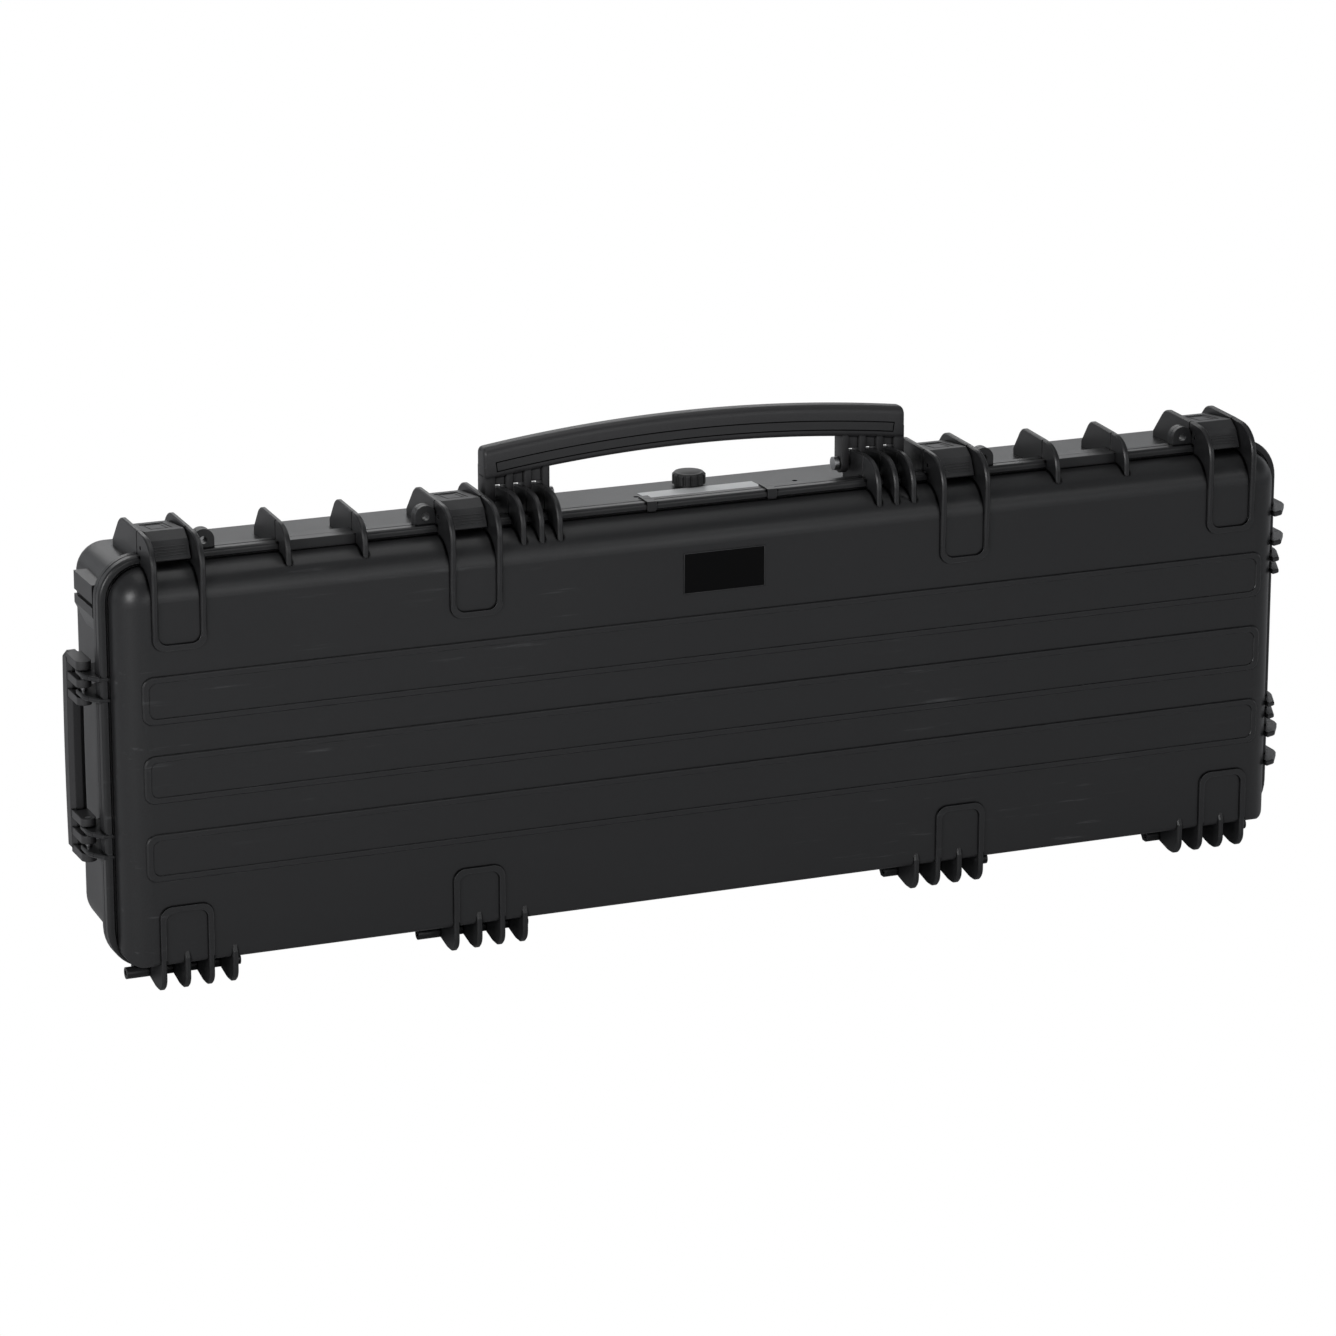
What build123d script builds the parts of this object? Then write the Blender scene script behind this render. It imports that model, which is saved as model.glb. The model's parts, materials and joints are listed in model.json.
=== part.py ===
from build123d import *
import math
import os

# Long latched carrying case, standing on its hinge edge.
# X runs along the case, Y from the lid's face (front) to the base's back, Z up.
# The origin lies under the middle of the case, at floor height. "depth" is
# measured back from the plane of the lid's face, "height" up from the floor.

os.makedirs("parts", exist_ok=True)

# Driving sizes of the two shells
total_length = 1183
total_depth = 159
rib_proud = 4.5             # latch ribs stand this far in front of the lid's face
back_pad_proud = 1.3
end_room = 22.5             # from a shell's end to the outermost end fitting
body_low = 24
body_high = 385
body_corner = 30
parting_depth = 38.6
parting_gap = 0.4
draft = 2                   # degrees
lid_face_round = 27
lid_low_round = 4           # the lid's lower edge and its lower corners are sharper
lid_low_corner = 16
base_back_round = 20
lid_wall = 4.2
base_wall = 4
flange_proud = 8.5
flange_thick = 9.6
flange_round = 3.2
lip_round = 0.8
groove_out = 2.6            # groove at the foot of the flange: outer edge, width, depth
groove_wide = 1.4
groove_sink = 1.6

# Places along the case, mirrored about the middle
handle_half = 206.5         # half the length of the carry handle
corner_room = 33            # from a shell's end to the outer rib of the end latch
handle_room = 54.5          # from the carry handle's end to the middle latch's outer rib
lug_inset = 50.5            # from the carry handle's end to its innermost lug
lug_pitch = 17.4
rib_pitch = 44              # from rib to rib of one latch
rib_wide = 5
rib_top = 415
brace_shift = 2.5           # the braces stand nearer to the middle latch
brace_reach = 35.5

# Fits and clearances
running_gap = 0.05          # pin in a bore, radial
side_gap = 0.8              # moving piece beside a fixed one
seat = 0.3                  # depth by which a fixed piece is set in its carrier
overrun = 2                 # extra length of a cut
edge_soft = 1.1             # rounding of rib edges

# Values worked out from the above
end_reach = total_length / 2
body_half = end_reach - end_room
latch_rib_far = body_half - corner_room
latch_rib_near = handle_half + handle_room
brace_mid = (latch_rib_far - rib_pitch + latch_rib_near) / 2 - brace_shift
lug_first = handle_half - lug_inset
face_y = -total_depth / 2 + rib_proud
back_depth = total_depth - rib_proud - back_pad_proud
body_mid = (body_low + body_high) / 2
body_tall = body_high - body_low
lid_back = parting_depth - parting_gap / 2
base_front = parting_depth + parting_gap / 2
base_deep = back_depth - base_front
flange_half = body_half + flange_proud
flange_tall = body_tall + 2 * flange_proud
flange_low = body_low - flange_proud
flange_high = body_high + flange_proud
flange_corner = body_corner + flange_proud
rib_root = 3.8              # how far ribs run into a wall
mark_proud = 2.2            # raised outlines on the lid's face
latch_centres = [
    side * (far - rib_pitch / 2)
    for far in (latch_rib_far, latch_rib_near)
    for side in (-1, 1)
]
latch_centres.sort()
latch_ribs = [x + side * rib_pitch / 2 for x in latch_centres for side in (-1, 1)]
braces = [side * (brace_mid + x) for x in (brace_reach, -brace_reach) for side in (-1, 1)]
lugs = [side * (lug_first + step * lug_pitch) for step in range(3) for side in (-1, 1)]


def facing(depth):
    # plane across the case, seen from the front, at a depth behind the lid's face
    return Plane.XZ.offset(-(face_y + depth))


def backing(depth):
    # the same plane seen from the back, so that a taper narrows to the rear
    return Plane(origin=(0, face_y + depth, 0), x_dir=(-1, 0, 0), z_dir=(0, 1, 0))


def outline(points, rounds):
    # closed outline in depth and height; rounds lists (index of a point, radius)
    with BuildSketch() as shape:
        with BuildLine():
            Polyline(*points, close=True)
        make_face()
        for index, radius in rounds:
            corner = shape.vertices().sort_by_distance(Vector(*points[index]))[0]
            fillet(corner, radius)
    return shape.sketch


def slab(shape, wide, soft=edge_soft):
    # upright rib with softened edges, middle at X = 0, cut from a side outline
    with BuildPart() as rib:
        with BuildSketch(Plane.YZ.offset(-wide / 2)):
            add(shape)
        extrude(amount=wide)
        if soft:
            chamfer(rib.faces().filter_by(Axis.X).edges(), soft)
    return rib.part


def shelf(shape, wide, soft=edge_soft):
    # level rib on an end wall; its outline is drawn in distance along X and depth
    with BuildPart() as rib:
        with BuildSketch(Plane.XY.offset(-wide / 2)):
            add(shape)
        extrude(amount=wide)
        if soft:
            chamfer(rib.faces().filter_by(Axis.Z).edges(), soft)
    return rib.part


def ring(plane, mid, size, corner, thick, front_round):
    # rounded frame plate used for both flanges
    with BuildPart() as plate:
        with BuildSketch(plane):
            with Locations(mid):
                RectangleRounded(size[0], size[1], corner)
        extrude(amount=thick)
        far_face = plate.faces().filter_by(Axis.Y)
        fillet(far_face.sort_by_distance(plane.origin)[-1].edges(), front_round)
        fillet(far_face.sort_by_distance(plane.origin)[0].edges(), lip_round)
        with BuildSketch(plane.offset(thick)):
            with Locations(mid):
                for inward, cut in ((flange_proud - groove_out, Mode.ADD),
                                    (flange_proud - groove_out + groove_wide, Mode.SUBTRACT)):
                    RectangleRounded(size[0] - 2 * inward, size[1] - 2 * inward,
                                     corner - inward, mode=cut)
        extrude(amount=-groove_sink, mode=Mode.SUBTRACT)
    return plate.part


def hollow(plane, mid, size, corner, deep, round_off):
    # inside space of one shell, open at the parting line
    with BuildPart() as space:
        with BuildSketch(plane):
            with Locations(mid):
                RectangleRounded(size[0], size[1], corner)
        extrude(amount=deep, taper=draft)
        floor = space.faces().filter_by(Axis.Y).sort_by_distance(plane.origin)[-1]
        fillet(floor.edges(), round_off)
    return space.part


def lid_form(inset, low_corner, low_round):
    # the lid's outside, or its inside space when inset by the wall; the face is well
    # rounded at the ends and the top and nearly sharp at its lower edge
    size = (2 * (body_half - inset), body_tall - 2 * inset + 2 * lid_face_round)
    forms = []
    for lift, corner, soft in ((-lid_face_round, body_corner - inset, lid_face_round - inset),
                               (lid_face_round, low_corner, low_round)):
        with BuildPart() as form:
            with BuildSketch(facing(lid_back)):
                with Locations((0, body_mid + lift)):
                    RectangleRounded(*size, corner)
            extrude(amount=lid_back - inset, taper=draft)
            fillet(form.faces().sort_by(Axis.Y)[0].edges(), soft)
        forms.append(form.part)
    return forms[0] & forms[1]


# Hinge: four lid fins and five base knuckles on one pin, at each of four places
fin_count = 4
fin_pitch = rib_pitch / 2
fin_wide = 5
fin_low = 0
hinge_depth = parting_depth
hinge_high = 9.6
barrel_radius = 5.4
hinge_pin_radius = 2.4
knuckle_gap = 0.4
outer_barrel = 24           # barrel length beyond the fin next to the corner
inner_barrel = 16
hinge_fins = [
    [side * (far - step * fin_pitch) for step in range(fin_count)]
    for far in (latch_rib_far, latch_rib_near)
    for side in (-1, 1)
]
hinge_fins.sort()
foot_front = 54
foot_back = 100
foot_rise = 113
foot_back_round = 12
foot_front_round = 8

fin_top = body_low + 13     # where the fins leave the lid's face
fin_ramp = 6
fin_heel = 19               # depth at which a fin begins to rise to its barrel
fin_nose_round = 14
fin_heel_round = 12
lid_fin_shape = outline(
    [
        (-mark_proud, fin_top - fin_ramp),
        (-mark_proud, fin_low),
        (fin_heel, fin_low),
        (lid_back, hinge_high - barrel_radius),
        (lid_back, body_low + rib_root),
        (rib_root, body_low + rib_root),
        (rib_root, fin_top),
        (0, fin_top),
    ],
    [(1, fin_nose_round), (2, fin_heel_round)],
)
lid_fin = slab(lid_fin_shape, fin_wide)

base_foot_shape = outline(
    [
        (base_front, hinge_high - barrel_radius),
        (base_front, body_low + rib_root),
        (foot_rise, body_low + rib_root),
        (foot_rise, body_low - 2 * overrun),
        (foot_back, fin_low),
        (foot_front, fin_low),
        (hinge_depth + barrel_radius, hinge_high - barrel_radius),
    ],
    [(4, foot_back_round), (5, foot_front_round)],
)
base_foot = slab(base_foot_shape, fin_wide)

base_web_shape = outline(
    [
        (base_front, hinge_high - barrel_radius),
        (base_front, body_low + rib_root),
        (base_front + flange_thick, body_low + rib_root),
        (base_front + flange_thick, hinge_high),
        (hinge_depth + barrel_radius, hinge_high - barrel_radius),
    ],
    [],
)
base_web = slab(base_web_shape, fin_wide, soft=0)

# Latches: lever between two ribs, pivoted on the lid, reaching over the base
latch_pivot_depth = 28.5
latch_pivot_high = 401
latch_pin_radius = 2
latch_width = rib_pitch - rib_wide - 2 * side_gap
latch_skin = 3.6
latch_top_front = 36.6
latch_back = 90
latch_crown = 413
latch_tail = 407
ridge_depth = 26.5
ridge_high = 406.5
grip_depth = 17.5
grip_low = 389.5
latch_boss_radius = 4.2
lid_notch_floor = body_high - 0.4
lid_notch_front = 12
base_notch_floor = body_high + 1
strike_depth = 82
strike_thick = 5
hook_low = 391
hook_gap = 0.6
latch_arm_low = 394
latch_cheek = 2.6
latch_panel = (46, 78, 22)    # recess on top: front depth, back depth, width
latch_panel_sink = 0.7

crest_fall = 0.8            # the crest falls from the parting line to the front
nose_fall = 3.2
rib_knee = body_high - 12   # below this height the rib runs out into the mark
rib_foot = body_high - 60
rib_foot_proud = 2.5
nose_round = 28
lid_rib_shape = outline(
    [
        (lid_back, rib_top - crest_fall),
        (-rib_proud, rib_top - nose_fall),
        (-rib_proud, rib_knee),
        (-rib_foot_proud, rib_foot),
        (rib_root, rib_foot),
        (rib_root, body_high - lid_face_round),
        (lid_face_round, body_high - rib_root),
        (lid_back, body_high - rib_root),
    ],
    [(1, nose_round), (2, nose_round)],
)
lid_rib = slab(lid_rib_shape, rib_wide)

lobe_crest = 90
lobe_foot = 113
lobe_foot_high = body_high + 4
lobe_round = 20
base_lobe_shape = outline(
    [
        (base_front, body_high - base_wall),
        (base_front, rib_top - crest_fall),
        (lobe_crest, rib_top),
        (lobe_foot, lobe_foot_high),
        (lobe_foot, body_high - base_wall),
    ],
    [(2, lobe_round)],
)
base_lobe = slab(base_lobe_shape, rib_wide)

brace_top = 411.5
brace_nose = (9, brace_top - 2)
brace_chin = (7.5, body_high - 14)
brace_round = 24
brace_crest = (83, brace_top + 1.5)
brace_foot = (100, body_high + 5)
brace_back_round = 14
lid_brace_shape = outline(
    [
        (lid_back, brace_top),
        brace_nose,
        brace_chin,
        (lid_face_round, body_high - rib_root),
        (lid_back, body_high - rib_root),
    ],
    [(1, brace_round)],
)
lid_brace = slab(lid_brace_shape, rib_wide)
base_brace_shape = outline(
    [
        (base_front, body_high - base_wall),
        (base_front, brace_top),
        brace_crest,
        brace_foot,
        (brace_foot[0], body_high - base_wall),
    ],
    [(2, brace_back_round)],
)
base_brace = slab(base_brace_shape, rib_wide)

# Carry handle: seats between three lugs at each end
handle_pivot_depth = 72
handle_pivot_high = 400
handle_pin_radius = 2.6
handle_thick = 20
handle_plate = 7
handle_plate_round = 9
handle_web_high = 420.5
handle_end_high = 449
handle_mid_high = 463.5
grip_end_low = 427
grip_mid_low = 434
handle_soft = 4.5
lug_wide = 5
lug_round = 12              # about the pin, clear of the handle's web
web_low = 414.5             # web between the comb plates, above the lugs
web_thick = 12
lug_nose = (6, rib_top - 3)
lug_chin = (5, body_high - 14)
lug_nose_round = 26

base_lug_shape = outline(
    [
        (base_front, body_high - base_wall),
        (base_front, rib_top),
        (handle_pivot_depth, handle_pivot_high + lug_round),
        (handle_pivot_depth + lug_round, handle_pivot_high + lug_round),
        (handle_pivot_depth + lug_round, body_high - base_wall),
    ],
    [(3, lug_round - running_gap)],
)
base_lug = slab(base_lug_shape, lug_wide)
lid_lug_shape = outline(
    [
        (lid_back, rib_top),
        lug_nose,
        lug_chin,
        (lid_face_round, body_high - rib_root),
        (lid_back, body_high - rib_root),
    ],
    [(1, lug_nose_round)],
)
lid_lug = slab(lid_lug_shape, lug_wide)

# Side handle on the left end, and the ribs and wheel housings of both ends
end_mid = 204.3
end_lug_near = 62.4
end_lug_far = 81.5
end_lugs = [
    end_mid + side * reach for reach in (end_lug_near, end_lug_far) for side in (-1, 1)
]
far_lugs = [124.5, 136.5, 267.6, 279.4]
side_pivot_depth = 60
side_pin_radius = 2.6
side_thick = 15
side_half = 92
side_reach = 42
side_grip_in = 22
side_soft = 4
side_plate = 7
end_lug_wide = 4.4
wheel_mid = 201
wheel_near = 94.5
wheel_far = 123
wheel_fins = [
    wheel_mid + side * reach for reach in (wheel_near, wheel_far) for side in (-1, 1)
]
wheel_fins.sort()
wheel_fin_wide = 5
wheel_axis_depth = 118
wheel_radius = 27
wheel_width = 18
hub_radius = 17
axle_radius = 3
wheel_room = 3              # space between wheel and pocket
fin_inset = 1               # the housing fins end this far inside the wheels' reach
side_pivot_x = end_reach - side_thick / 2
wheel_axis_x = end_reach - wheel_radius
wheel_fin_reach = end_reach - fin_inset
flange_front = lid_back - flange_thick

end_lug_cover = 6           # lug material beyond the pin's axis
end_lug_step = 2            # the lugs start this far outside the flange
end_lug_front = side_pivot_depth - 16
end_lug_back = side_pivot_depth + 8
end_lug_end = side_pivot_depth + 20
end_lug_front_round = 20
end_lug_back_round = 8
end_rib_shape = outline(
    [
        (body_half - rib_root, flange_front - seat),
        (flange_half + end_lug_step, flange_front - seat),
        (side_pivot_x + end_lug_cover, end_lug_front),
        (side_pivot_x + end_lug_cover, end_lug_back),
        (body_half - rib_root, end_lug_end),
    ],
    [(2, end_lug_front_round), (3, end_lug_back_round)],
)
fin_start = 6               # depth at which the end ribs leave the shell
wheel_fin_rise = (body_half + 6, 10)
wheel_fin_front = 34
wheel_fin_back = wheel_axis_depth + 16
wheel_fin_heel = wheel_fin_reach - 14
wheel_fin_rounds = (16, 14, 8)
wheel_fin_shape = outline(
    [
        (body_half - rib_root, fin_start),
        wheel_fin_rise,
        (wheel_fin_reach, wheel_fin_front),
        (wheel_fin_reach, wheel_fin_back),
        (wheel_fin_heel, back_depth),
        (body_half - 4 * base_wall, back_depth),
    ],
    list(enumerate(wheel_fin_rounds, start=2)),
)
far_rib_rise = (body_half + 4, 9)
far_rib_reach = wheel_fin_reach - 6
far_rib_front = 36
far_rib_back = 70
far_rib_end = 98
far_rib_rounds = (18, 16)
far_rib_shape = outline(
    [
        (body_half - rib_root, fin_start),
        far_rib_rise,
        (far_rib_reach, far_rib_front),
        (far_rib_reach, far_rib_back),
        (body_half - rib_root, far_rib_end),
    ],
    list(enumerate(far_rib_rounds, start=2)),
)

# Panels, marks and small fittings
panel_end_room = 20         # from the shell's end to the end of the lid's panels
panel_tall = 44.2
panel_pitch = 71.9
panel_low = 104
panel_corner = 10
panel_rim = 5.5
panel_half = body_half - panel_end_room
panel_proud = back_pad_proud
panel_slant = 40            # degrees
mark_wide = 5               # raised outline below each latch and above each hinge
mark_corner = 11
latch_mark_low = 314.5
hinge_mark_high = 80
badge_long = 78
badge_tall = 36.5
badge_mid = 332
badge_thick = 1.2
label_x = 13
label_depth = 85.5
label_long = 114
label_wide = 23
label_thick = 0.9
label_sink = 0.6
screw_places = [(-50, 88.5), (107, 87)]
screw_radius = 2.6
screw_deep = 2.4
eye_shift = 12.5            # eye centre from the middle of its rib
eye_high = 401
eye_radius = 10
eye_hole = 3.6
eye_thick = 5
clip_x = 59
clip_wide = 9
clip_rise = 1.2
band_rise = 0.9
valve_x = 12
valve_depth = 112.5
valve_radius = 15.5
valve_high = 13
valve_stem = 6
gasket_wide = 2.4
gasket_deep = 2.6
gasket_in = 0.9             # from the shell's outside to the gasket's outer edge

fin_marks = []
for fins in hinge_fins:
    outward = sorted(fins, key=abs, reverse=True)
    fin_marks.append((outward[0] + outward[2]) / 2)

# The padlock eyes stand beside the rib of each latch that faces the next latch
eyes = []
for centre in latch_centres:
    rib = centre - rib_pitch / 2 if abs(centre) < latch_rib_near else centre + rib_pitch / 2
    if centre > 0:
        rib = 2 * centre - rib
    eyes.append(rib + eye_shift * (1 if rib > centre else -1))

slope = math.tan(math.radians(draft))


def base_top(depth):
    # height of the base's upper side, which falls to the rear with the draft
    return body_high - (depth - base_front) * slope


def placed(piece, xs):
    # copies of one rib along the case
    return [Pos(x, face_y, 0) * piece for x in xs]


def rod(radius, length, depth, height):
    # cylinder along X with its middle at X = 0
    with BuildPart() as bar:
        with BuildSketch(Plane.YZ.offset(-length / 2)):
            with Locations((depth, height)):
                Circle(radius)
        extrude(amount=length)
    return bar.part


def post(radius, length, x, depth, height):
    # cylinder along Z, given by its lower end
    return Pos(x, face_y + depth, height + length / 2) * Cylinder(radius, length, mode=Mode.PRIVATE)


def block(x_range, depth_range, height_range):
    size = [high - low for low, high in (x_range, depth_range, height_range)]
    mid = [(high + low) / 2 for low, high in (x_range, depth_range, height_range)]
    return Pos(mid[0], face_y + mid[1], mid[2]) * Box(*size, mode=Mode.PRIVATE)


def panel(plane, half, corner):
    # long raised panel with a rim, drawn on a face of the case
    with BuildPart() as plate:
        with BuildSketch(plane):
            RectangleRounded(2 * half, panel_tall, corner)
        extrude(amount=panel_proud, taper=panel_slant)
        with BuildSketch(plane):
            RectangleRounded(2 * half, panel_tall, corner)
        extrude(amount=-seat)
        with BuildSketch(plane.offset(panel_proud)):
            RectangleRounded(2 * (half - panel_rim), panel_tall - 2 * panel_rim,
                             corner - panel_rim / 2)
        extrude(amount=-panel_proud / 2, taper=panel_slant, mode=Mode.SUBTRACT)
    return plate.part


def mark(low, high, open_up):
    # raised U on the lid's face, open at the top or at the bottom
    over = overrun + mark_corner
    top = high + (over if open_up else 0)
    bottom = low - (0 if open_up else over)
    with BuildPart() as loop:
        with BuildSketch(facing(rib_root)):
            with Locations((0, (top + bottom) / 2)):
                RectangleRounded(rib_pitch + mark_wide, top - bottom, mark_corner)
                RectangleRounded(rib_pitch - mark_wide, top - bottom - 2 * mark_wide,
                                 mark_corner - mark_wide / 2, mode=Mode.SUBTRACT)
            with Locations((0, (low + high) / 2)):
                Rectangle(2 * rib_pitch, high - low, mode=Mode.INTERSECT)
        extrude(amount=rib_root + mark_proud)
    return loop.part


def eye(plane, thick):
    # one half of a padlock eye, with its hole
    with BuildPart() as ear:
        with BuildSketch(plane):
            with Locations((0, eye_high)):
                Circle(eye_radius)
            with Locations((0, (eye_high + body_high) / 2)):
                Rectangle(2 * eye_radius, eye_high - body_high)
            with Locations((0, eye_high)):
                Circle(eye_hole, mode=Mode.SUBTRACT)
        extrude(amount=thick)
    return ear.part


def split(ribs):
    # a rib that crosses the parting line becomes a lid part and a base part
    reach = 2 * body_half
    front = block((-reach, reach), (-reach, lid_back), (-reach, reach))
    back = block((-reach, reach), (base_front, reach), (-reach, reach))
    return [rib & front for rib in ribs], [rib & back for rib in ribs]


end_rib = shelf(end_rib_shape, end_lug_wide)
far_rib = shelf(far_rib_shape, end_lug_wide)
wheel_fin = shelf(wheel_fin_shape, wheel_fin_wide)
left_ribs = [Pos(0, face_y, z) * mirror(end_rib, about=Plane.YZ) for z in end_lugs]
right_ribs = [Pos(0, face_y, z) * far_rib for z in far_lugs]
right_ribs += [Pos(0, face_y, z) * wheel_fin for z in wheel_fins]
lid_end_ribs, base_end_ribs = split(left_ribs + right_ribs)

hinge_spans = []
for fins in hinge_fins:
    outward = 1 if sum(fins) > 0 else -1
    corner_end = outward * (max(abs(x) for x in fins) + outer_barrel)
    middle_end = outward * (min(abs(x) for x in fins) - inner_barrel)
    hinge_spans.append((min(corner_end, middle_end), max(corner_end, middle_end)))

# Lid
band_long = 2 * brace_reach - rib_wide + 2 * seat
lid_pieces = [
    ring(facing(lid_back), (0, body_mid), (2 * flange_half, flange_tall),
         flange_corner, flange_thick, flange_round),
]
lid_pieces += placed(lid_rib, latch_ribs)
lid_pieces += placed(lid_brace, braces)
lid_pieces += placed(lid_lug, lugs)
lid_pieces += placed(lid_fin, [x for fins in hinge_fins for x in fins])
lid_pieces += placed(rod(barrel_radius, fin_wide, hinge_depth, hinge_high),
                     [x for fins in hinge_fins for x in fins])
lid_pieces += [
    Pos(0, 0, panel_low + panel_tall / 2 + step * panel_pitch)
    * panel(facing(0), panel_half, panel_corner)
    for step in range(3)
]
latch_mark = mark(latch_mark_low, body_high - lid_face_round - overrun, True)
hinge_mark = mark(fin_top - fin_ramp, hinge_mark_high, False)
lid_pieces += [Pos(x, 0, 0) * latch_mark for x in latch_centres]
lid_pieces += [Pos(x, 0, 0) * hinge_mark for x in fin_marks]
lid_pieces += [Pos(x, 0, 0) * eye(facing(lid_back), eye_thick) for x in eyes]
for side in (-1, 1):
    lid_pieces.append(block(
        (side * brace_mid - band_long / 2, side * brace_mid + band_long / 2),
        (lid_back - flange_thick - band_rise, lid_back),
        (body_high, flange_high + band_rise)))
    lid_pieces.append(block(
        (side * clip_x - clip_wide / 2, side * clip_x + clip_wide / 2),
        (lid_back - flange_thick - clip_rise, lid_back),
        (body_high, flange_high + clip_rise)))
lid_pieces += lid_end_ribs

with BuildPart() as groove:
    with BuildSketch(facing(lid_back)):
        with Locations((0, body_mid)):
            for inward, cut in ((gasket_in, Mode.ADD), (gasket_in + gasket_wide, Mode.SUBTRACT)):
                RectangleRounded(2 * (body_half - inward), body_tall - 2 * inward,
                                 body_corner - inward, mode=cut)
    extrude(amount=gasket_deep)
lid_cuts = [
    lid_form(lid_wall, body_corner - lid_wall, lid_low_round / 2),
    groove.part,
    block((-badge_long / 2, badge_long / 2), (-overrun, badge_thick),
          (badge_mid - badge_tall / 2, badge_mid + badge_tall / 2)),
]
for x in latch_centres:
    half = (rib_pitch - rib_wide) / 2
    lid_cuts.append(block((x - half, x + half), (lid_notch_front, lid_back + overrun),
                          (lid_notch_floor, rib_top)))
lid_cuts += placed(rod(latch_pin_radius, 2 * rib_pitch - 4 * rib_wide,
                       latch_pivot_depth, latch_pivot_high), latch_centres)
for low, high in hinge_spans:
    lid_cuts += placed(rod(hinge_pin_radius + running_gap, high - low, hinge_depth, hinge_high),
                       [(low + high) / 2])

with BuildPart() as lid_shell:
    add(lid_form(0, lid_low_corner, lid_low_round))
    add(lid_pieces)
    add(lid_cuts, mode=Mode.SUBTRACT)
lid_shell.part.label = "lid_shell"
export_step(lid_shell.part, "parts/lid_shell.step")

# Base
back_panel_end_room = 41
back_panel_half = body_half - back_panel_end_room
bumper_proud = 8
bumper_reach = body_half + bumper_proud
bumper_depths = (50, 105)
bumper_high = 366
bumper_mid = 337
bumper_low = 312
bumper_notch = (345, 349)
bumper_notch_deep = 2.5
pocket_skin = 3.2
pocket_width = wheel_far - wheel_near - wheel_fin_wide
wheel_mids = [(wheel_fins[0] + wheel_fins[1]) / 2, (wheel_fins[2] + wheel_fins[3]) / 2]

with BuildPart() as bumper:
    with BuildSketch(facing(bumper_depths[1])):
        with BuildLine():
            Polyline(
                (-body_half + 2 * rib_root, bumper_high), (-bumper_reach, bumper_high),
                (-bumper_reach, bumper_notch[1]),
                (-bumper_reach + bumper_notch_deep, bumper_notch[1]),
                (-bumper_reach + bumper_notch_deep, bumper_notch[0]),
                (-bumper_reach, bumper_notch[0]), (-bumper_reach, bumper_mid),
                (-body_half + rib_root, bumper_low), (-body_half + 2 * rib_root, bumper_low),
                close=True)
        make_face()
    extrude(amount=bumper_depths[1] - bumper_depths[0])

inner_gap = fin_pitch - fin_wide - 2 * knuckle_gap
base_pieces = [
    ring(backing(base_front), (0, body_mid), (2 * flange_half, flange_tall),
         flange_corner, flange_thick, flange_round),
    bumper.part,
]
base_pieces += placed(base_lobe, latch_ribs)
base_pieces += placed(base_brace, braces)
base_pieces += placed(base_lug, lugs)
for fins, (low, high) in zip(hinge_fins, hinge_spans):
    ordered = sorted(fins)
    gaps = [(one + two) / 2 for one, two in zip(ordered, ordered[1:])]
    ends = [(low, ordered[0] - fin_wide / 2 - knuckle_gap),
            (ordered[-1] + fin_wide / 2 + knuckle_gap, high)]
    base_pieces += placed(base_foot, gaps)
    base_pieces += placed(rod(barrel_radius, inner_gap, hinge_depth, hinge_high), gaps)
    for start, stop in ends:
        base_pieces += placed(rod(barrel_radius, stop - start, hinge_depth, hinge_high),
                              [(start + stop) / 2])
        near = start if abs(start) < abs(stop) else stop
        inward = near + (fin_wide / 2 if near == start else -fin_wide / 2)
        base_pieces += placed(base_web, [inward, (start + stop) / 2])
base_pieces += [
    Pos(0, 0, panel_low + panel_tall / 2 + step * panel_pitch)
    * panel(backing(back_depth), back_panel_half, panel_corner)
    for step in range(3)
]
base_pieces += [Pos(x, 0, 0) * eye(backing(base_front), eye_thick) for x in eyes]
for side in (-1, 1):
    base_pieces.append(block(
        (side * brace_mid - band_long / 2, side * brace_mid + band_long / 2),
        (base_front, base_front + flange_thick + band_rise),
        (body_high, flange_high + band_rise)))
    base_pieces.append(block(
        (side * clip_x - clip_wide / 2, side * clip_x + clip_wide / 2),
        (base_front, base_front + flange_thick + clip_rise),
        (body_high, flange_high + clip_rise)))
for x in latch_centres:
    half = (rib_pitch - rib_wide) / 2 + seat
    base_pieces.append(block((x - half, x + half), (strike_depth - strike_thick, strike_depth),
                             (body_high - base_wall, hook_low - hook_gap)))
base_pieces += base_end_ribs

room = hollow(backing(base_front), (0, body_mid),
              (2 * (body_half - base_wall), body_tall - 2 * base_wall),
              body_corner - base_wall, back_depth - base_wall - base_front,
              base_back_round - base_wall)
for z in wheel_mids:
    wide = pocket_width + 2 * pocket_skin
    room -= post(wheel_radius + wheel_room + pocket_skin, wide, wheel_axis_x,
                 wheel_axis_depth, z - wide / 2)
base_cuts = [room]
for z in wheel_mids:
    base_cuts.append(post(wheel_radius + wheel_room, pocket_width, wheel_axis_x,
                          wheel_axis_depth, z - pocket_width / 2))
    wide = wheel_far - wheel_near + wheel_fin_wide + 2 * overrun
    base_cuts.append(post(axle_radius, wide, wheel_axis_x, wheel_axis_depth, z - wide / 2))
for x in latch_centres:
    half = (rib_pitch - rib_wide) / 2
    base_cuts.append(block((x - half, x + half), (0, base_front + flange_thick + overrun),
                           (base_notch_floor, rib_top)))
for side in (-1, 1):
    inner = lug_first - lug_pitch
    outer = handle_half
    base_cuts += placed(rod(handle_pin_radius, outer - inner, handle_pivot_depth,
                            handle_pivot_high), [side * (inner + outer) / 2])
    low = end_lug_near - end_lug_wide
    high = end_lug_far + end_lug_wide
    base_cuts.append(post(side_pin_radius, high - low, -side_pivot_x, side_pivot_depth,
                          end_mid + (low if side > 0 else -high)))
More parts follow.
